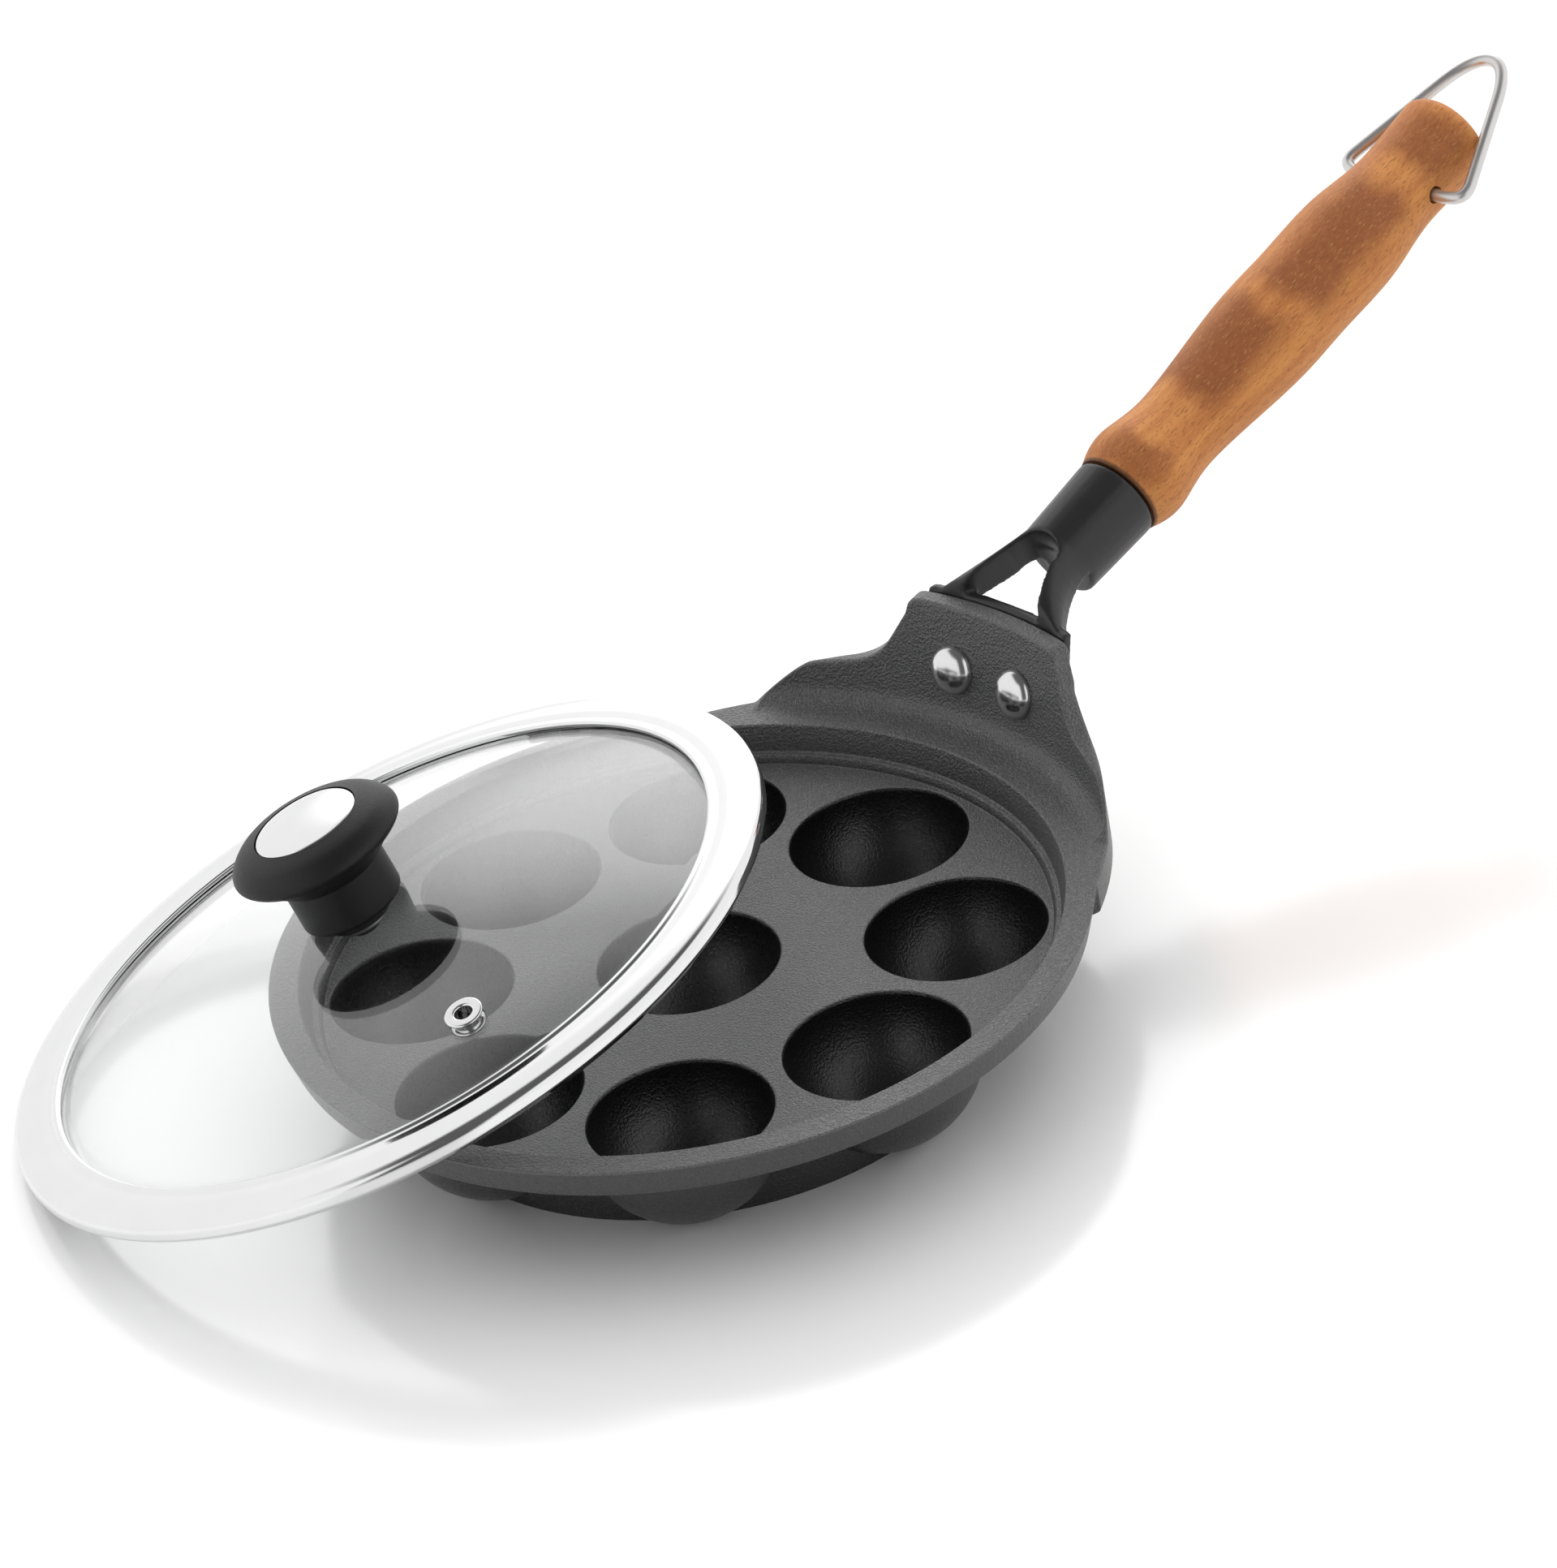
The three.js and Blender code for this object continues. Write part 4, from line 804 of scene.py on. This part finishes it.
# Pale golden specks along the grain are painted highlights, standing in for tiny glints on the finish.
wood = f.colour(0.40 * f.step(glint_speck, 0.58, 0.75), wood, (0.76, 0.40, 0.14))
seam = 1 - f.step(u, 49.6, 50.6)
wood = f.colour(0.85 * seam, wood, (0.05, 0.02, 0.008))
relief = 0.6 * fleck + 0.4 * grain
f.surface(Base_Color=wood, Roughness=0.46 + 0.18 * grain, Specular=0.35,
          Normal=f.bump(relief, 0.00012, 0.6))
dress(grip, "handle_grip", "pan", beech)

# %% [markdown]
# ## The hanging loop
# One steel wire is bent to a triangle, and its two ends meet inside the grip's cross hole. It is swept
# along its route: at each point a small circle stands square to the way the wire runs. The wire lies in
# one plane, so two fixed directions are enough to place that circle without any twist.

# %% Hanging loop
WIRE_RADIUS, LOOP_HALF_WIDTH, LOOP_LENGTH, LOOP_TIP_HALF = 1.72, 20.5, 44.8, 10.5
LOOP_CORNER, LOOP_TIP_ROUND = 6.0, 12.0
LOOP_LIFT = math.radians(8)


def cubic(a, b, c, d, steps):
    a, b, c, d = (np.array(point, float) for point in (a, b, c, d))
    s = np.linspace(0, 1, steps + 1)[:, None]
    return (1 - s) ** 3 * a + 3 * s * (1 - s) ** 2 * b + 3 * s ** 2 * (1 - s) * c + s ** 3 * d


taper = (LOOP_HALF_WIDTH - LOOP_TIP_HALF) / (LOOP_LENGTH - LOOP_CORNER - LOOP_TIP_ROUND)


def on_leg(x):
    return x, LOOP_HALF_WIDTH - taper * (x - LOOP_CORNER)


leg_start, leg_end = on_leg(LOOP_CORNER), on_leg(LOOP_LENGTH - LOOP_TIP_ROUND)
bend_start = (0, LOOP_HALF_WIDTH - 1.2 * LOOP_CORNER)
half = np.vstack([
    np.linspace((0, WIRE_RADIUS), bend_start, 8)[:-1],
    cubic(bend_start, (0, LOOP_HALF_WIDTH - 0.2 * LOOP_CORNER), on_leg(LOOP_CORNER / 4), leg_start, 20),
    np.linspace(leg_start, leg_end, 14)[1:-1],
    bezier(leg_end, on_leg(LOOP_LENGTH), (LOOP_LENGTH, 0), 16),
])
route = np.vstack([half, (half * (1, -1))[::-1][1:]])
way = np.gradient(route, axis=0)
way /= np.linalg.norm(way, axis=1)[:, None]
turns = np.linspace(0, 2 * np.pi, 20, endpoint=False)
rings = []
for (x, y), (dx, dy) in zip(route, way):
    rings.append([(x - dy * WIRE_RADIUS * math.cos(a), y + dx * WIRE_RADIUS * math.cos(a),
                   WIRE_RADIUS * math.sin(a)) for a in turns])
loop_place = hole_place @ Matrix.Rotation(-LOOP_LIFT, 4, "Y")
loop = smooth(loft("loop_wire", rings, place=loop_place))
dress(loop, "hanging_loop", "loop", drawn_wire)

# %% [markdown]
# ## The lid's place
# The lid leans with its low edge on the floor and its lip across the pan's rim. The height of its middle
# follows from its slope and the point that touches the floor, and its distance from the pan's middle
# from where the lip's circle crosses the rim's circle.

# %% Lid frame
LID_RADIUS, LID_LIP, BAND_BEVEL = 107.0, 2.0, 1.8
LID_LEAN, LID_BEARING = math.radians(16.8), math.radians(130)
LIP_OUTSIDE, BAND_THICK = 96.105, 0.9

lip_inside = LIP_OUTSIDE - BAND_THICK
sine, cosine = math.sin(LID_LEAN), math.cos(LID_LEAN)
lid_height = max(LID_LIP * cosine + LIP_OUTSIDE * sine, (LID_RADIUS - BAND_BEVEL) * sine)
climb = (RIM_TOP + SEAT_GAP - (lid_height - LID_LIP * cosine)) / sine
crossing = math.sqrt(PAN_RADIUS ** 2 - lip_inside ** 2 + climb ** 2)
away = crossing + climb * cosine + LID_LIP * sine
lid_at = Vector((*polar(away, LID_BEARING), lid_height))
lid_turn = Matrix.Rotation(LID_BEARING, 4, "Z") @ Matrix.Rotation(LID_LEAN, 4, "Y")
lid = Matrix.Translation(lid_at * MM) @ lid_turn
print("lid middle at", [round(part, 1) for part in lid_at], "mm")

# %% [markdown]
# ## Lid rim
# The rim is steel sheet rolled round the glass: a flat band on top, a rounded outer bend, a foot that
# stands on the pan and a lip that keeps the lid in place. Its section is drawn once and turned.

# %% Lid rim
BAND_WIDTH, BAND_HEIGHT, BAND_SLOPE, BAND_CORNER = 14.5, 5.6, 1.1, 2.2
BAND_INSET = 0.25  # keeps the round rim inside the facets of its solid

band_inside = LID_RADIUS - BAND_WIDTH
band_top = BAND_HEIGHT + BAND_SLOPE
sheet = BAND_THICK
bevel = LID_RADIUS - BAND_BEVEL
edge = LID_RADIUS - BAND_INSET
rim_corners = [
    (lip_inside, 0), (lip_inside, -LID_LIP, 0.35), (LIP_OUTSIDE, -LID_LIP, 0.35), (LIP_OUTSIDE, 0, 0.3),
    (bevel - BAND_INSET, 0, 0.6), (edge, BAND_BEVEL, 0.6), (edge, BAND_HEIGHT, BAND_CORNER),
    (LID_RADIUS - 6.5, BAND_HEIGHT + 1.3, 4.0),
    (band_inside + 2.4, band_top - 0.1, 0.8), (band_inside + 1.5, band_top + 0.6, 0.7),
    (band_inside, band_top + 0.5, 0.8), (band_inside, band_top - sheet, 0.4),
    (LID_RADIUS - sheet, BAND_HEIGHT - sheet, BAND_CORNER - sheet),
    (LID_RADIUS - sheet, BAND_BEVEL + sheet / 2), (bevel - sheet / 2, sheet), (lip_inside, sheet, 0.4),
    (lip_inside, 0),
]
lid_rim = turn("lid_band", rounded(rim_corners, 6)[:-1], 192, closed=True, place=lid)
smooth(lid_rim)
dress(lid_rim, "lid_rim", "lid", polished)

# %% [markdown]
# ## Lid glass
# The glass is a shallow dome of even thickness, pressed from one sheet, whose edge lies under the band.
# It is turned with the hole for the knob's screw in its middle, and the vent hole is drilled square to
# the dome.

# %% Lid glass
GLASS_THICK, GLASS_RISE, GLASS_TUCK, GLASS_BORE = 3.6, 15.2, 7.0, 2.6
VENT_RADIUS, VENT_BEARING = 69.0, math.radians(122.5)
VENT_BARREL = 3.4

glass_shoulder = band_top - sheet - SEAT_GAP
glass_top = glass_shoulder + GLASS_RISE
dome_radius = (band_inside ** 2 + GLASS_RISE ** 2) / (2 * GLASS_RISE)


def dome_height(radius):
    return glass_top - dome_radius + np.sqrt(dome_radius ** 2 - radius ** 2)


margin = glass_shoulder - BAND_SLOPE * GLASS_TUCK / BAND_WIDTH
radii = np.linspace(GLASS_BORE, band_inside, 30)
upper = np.stack([radii, dome_height(radii)], 1)
lower = upper - (0, GLASS_THICK)
glass_edge = band_inside + GLASS_TUCK
edge = rounded([lower[-1], (glass_edge, margin - GLASS_THICK, 1), (glass_edge, margin, 1), upper[-1]])
glass = turn("lid_dome", [*lower, *edge[1:-1], *upper[::-1]], 144, closed=True, place=lid)
tilt = Matrix.Rotation(math.asin(VENT_RADIUS / dome_radius), 4, "Y")
vent_at = Matrix.Translation(Vector((VENT_RADIUS, 0, dome_height(VENT_RADIUS))) * MM)
vent_place = lid @ Matrix.Rotation(VENT_BEARING, 4, "Z") @ vent_at @ tilt
hole = VENT_BARREL + SEAT_GAP
drill = turn("drill", [(0, -9), (hole, -9), (hole, 9), (0, 9)], 40, place=vent_place)
combine(glass, drill, "DIFFERENCE")
smooth(glass, 50)
print("glass top", round(float(glass_top), 2), "mm over the seat")

# %% [markdown]
# ## Glass finish
# Clear glass needs full transmission. Little light finds its way through it by itself, so for rays that
# only light the glass is swapped for a clear shader, and what lies under the lid stays bright. A faint
# haze in the roughness keeps it from looking like a hole.

# %% Clear glass
clear_glass, f = new_finish("clear_glass")
haze = f.noise(f.place(), 25, 3, 0.6)
glassy = f.coat(Base_Color=(0.995, 1.0, 0.998, 1), Roughness=0.012 + 0.02 * haze,
                Transmission_Weight=1.0, IOR=1.75)
clear = f.node("ShaderNodeBsdfTransparent", {}, {"Color": (0.98, 0.985, 0.982, 1)})
lighting_rays = ("Is Shadow Ray", "Is Diffuse Ray")
lighting = sum(f.node("ShaderNodeLightPath", {}, {}, ray) for ray in lighting_rays)
lighting = f.node("ShaderNodeClamp", {}, {"Value": lighting})
f.show(f.node("ShaderNodeMixShader", {}, {0: lighting, 1: glassy, 2: clear}))
dress(glass, "lid_glass", "lid", clear_glass)

# %% [markdown]
# ## Vent
# A steel eyelet lines the vent hole, with a flange above the glass and one below. It is turned about the
# hole's own axis.

# %% Vent eyelet
VENT_FLANGE, VENT_BORE, VENT_FLAT = 5.0, 2.3, 0.9

seat = 2 * SEAT_GAP
under = -GLASS_THICK - seat
vent_corners = [
    (VENT_BORE, 0), (VENT_BORE, under - VENT_FLAT, 0.3), (0.9 * VENT_FLANGE, under - VENT_FLAT, 0.45),
    (0.9 * VENT_FLANGE, under, 0.4), (VENT_BARREL, under), (VENT_BARREL, seat), (VENT_FLANGE, seat, 0.4),
    (VENT_FLANGE, seat + VENT_FLAT, 0.5), (VENT_BORE, seat + VENT_FLAT, 0.6), (VENT_BORE, 0),
]
vent = smooth(turn("vent_ring", rounded(vent_corners)[:-1], 48, closed=True, place=vent_place))
dress(vent, "vent_eyelet", "lid", polished)

# %% [markdown]
# ## Knob and disc
# The knob is a moulded mushroom with a polished disc let into its top. Both are turned in the lid's own
# directions. The brim is a smooth curve through a few points, given as shares of the knob's height.

# %% Knob and disc
KNOB_RADIUS, KNOB_HEIGHT, KNOB_STEM, KNOB_FOOT = 23.35, 27.0, 13.8, 12.8
DISC_RADIUS, DISC_THICK, DISC_CROWN = 14.0, 1.6, 0.9
INSERT_RADIUS, INSERT_LENGTH = 4.3, 12.3

foot = float(glass_top) + SEAT_GAP
top = foot + KNOB_HEIGHT
disc_hole = DISC_RADIUS + SEAT_GAP
BRIM = [(KNOB_STEM, 0.46), ((KNOB_STEM + KNOB_RADIUS) / 2, 0.61), (KNOB_RADIUS, 0.76),
        ((2 * KNOB_RADIUS + DISC_RADIUS) / 3, 0.92), (disc_hole, 1)]
brim = spline([(radius, foot + share * KNOB_HEIGHT) for radius, share in BRIM], 12)
bottom = rounded([(INSERT_RADIUS, foot), (KNOB_FOOT, foot, 0.6), (KNOB_STEM, foot + 1, 0.6),
                  (KNOB_STEM, foot + 4)])
knob_outline = [(0, foot + INSERT_LENGTH), (INSERT_RADIUS, foot + INSERT_LENGTH), *bottom, *brim,
                (disc_hole, top - DISC_THICK), (0, top - DISC_THICK)]
knob = smooth(turn("knob_mushroom", knob_outline, 96, place=lid))

knob_plastic, f = new_finish("knob_plastic")
place = f.place()
grain = f.noise(place, 1500, 2, 0.6)
cloud = f.noise(place, 50, 2, 0.5)
tone = f.colour(cloud, (0.004, 0.004, 0.0042), (0.009, 0.009, 0.0095))
f.surface(Base_Color=tone, Roughness=0.42 + 0.12 * grain, Specular=0.38,
          Normal=f.bump(grain, 0.00012, 0.55))
dress(knob, "knob_body", "lid", knob_plastic)

crown = []
for radius in np.linspace(DISC_RADIUS - 0.5, 0, 12):
    crown.append((radius, top + DISC_CROWN * (1 - (radius / DISC_RADIUS) ** 2)))
disc_outline = [(0, top - DISC_THICK + SEAT_GAP), (DISC_RADIUS, top - DISC_THICK + SEAT_GAP),
                (DISC_RADIUS, top - SEAT_GAP), *crown]
disc = smooth(turn("knob_disc", disc_outline, 96, place=lid))
dress(disc, "knob_cap", "lid", polished)

# %% [markdown]
# ## What holds the knob
# Under the glass a rubber gasket, a plated washer and a screw hold the knob. They show through the glass
# and from below, so they are turned like the rest, with soft edges and a cross cut in the screw's head.
# The screw's thread and the brass insert in the knob stay out of sight.

# %% Gasket, washer and screw
GASKET_RADIUS, GASKET_THICK, WASHER_RADIUS, WASHER_THICK = 8.5, 1.5, 7.0, 1.0
SCREW_RADIUS, SCREW_HEAD, SCREW_HEAD_HEIGHT, SCREW_REACH = 2.0, 4.4, 2.2, 10.0
CROSS_LONG, CROSS_WIDE, CROSS_DEEP = 2.2, 0.55, 1.1

gasket_rubber, f = new_finish("gasket_rubber")
dust = f.noise(f.place(), 800, 2, 0.6)
tone = f.colour(dust, (0.012, 0.012, 0.012), (0.03, 0.03, 0.03))
f.surface(Base_Color=tone, Roughness=0.6 + 0.2 * dust, Normal=f.bump(dust, 0.00005, 0.5))


def ring(name, radius, high, thick, edge):
    bore = SCREW_RADIUS + SEAT_GAP
    corners = [(bore, high - thick / 2), (bore, high - thick, edge), (radius, high - thick, edge),
               (radius, high, edge), (bore, high, edge), (bore, high - thick / 2)]
    return smooth(turn(name, rounded(corners)[:-1], 64, closed=True, place=lid))


gasket_top = float(glass_top) - GLASS_THICK - SEAT_GAP
washer_top = gasket_top - GASKET_THICK - SEAT_GAP
screw_seat = washer_top - WASHER_THICK - SEAT_GAP
gasket = ring("gasket_ring", GASKET_RADIUS - 0.02, gasket_top, GASKET_THICK, 0.4)
dress(gasket, "knob_gasket", "lid", gasket_rubber)
washer = ring("washer_ring", WASHER_RADIUS - 0.02, washer_top, WASHER_THICK, 0.15)
dress(washer, "knob_washer", "lid", plated)
low = screw_seat - SCREW_HEAD_HEIGHT
shape = rounded([(0, low), (0.75 * SCREW_HEAD, low, 1.2), (SCREW_HEAD - 0.02, low + 0.9, 0.8),
                 (SCREW_HEAD - 0.02, screw_seat, 0.3), (SCREW_RADIUS, screw_seat),
                 (SCREW_RADIUS, foot + SCREW_REACH, 0.4), (0, foot + SCREW_REACH)])
screw = turn("screw_cross_head", shape, 48, place=lid)
for half_x, half_y in ((CROSS_LONG, CROSS_WIDE), (CROSS_WIDE, CROSS_LONG)):
    bar = [(half_x, half_y), (-half_x, half_y), (-half_x, -half_y), (half_x, -half_y)]
    cut = loft("cut", [[(x, y, z) for x, y in bar] for z in (low - 1, low + CROSS_DEEP)], place=lid)
    combine(screw, cut, "DIFFERENCE")
dress(smooth(screw), "knob_screw", "lid", plated)

# %% [markdown]
# ## Pieces inside
# The grip's screw and the knob's brass insert are covered by other pieces. Their solids stay as they are
# and only get a finish, for when someone takes the part apart.

# %% Finishes of the pieces inside
brass, f = new_finish("machined_brass")
lathe_marks = f.noise(f.stretch(f.place(), (300, 300, 4000)), 1, 1, 0.5)
tone = f.colour(lathe_marks, (0.55, 0.36, 0.12), (0.68, 0.47, 0.19))
f.surface(Base_Color=tone, Metallic=1.0, Roughness=0.25 + 0.15 * lathe_marks)
for node, material in (("grip_screw", dull_zinc), ("knob_insert", brass)):
    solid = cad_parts[node]
    for slot in solid.material_slots:
        slot.material = material
    print(node, "keeps its solid, in", material.name)
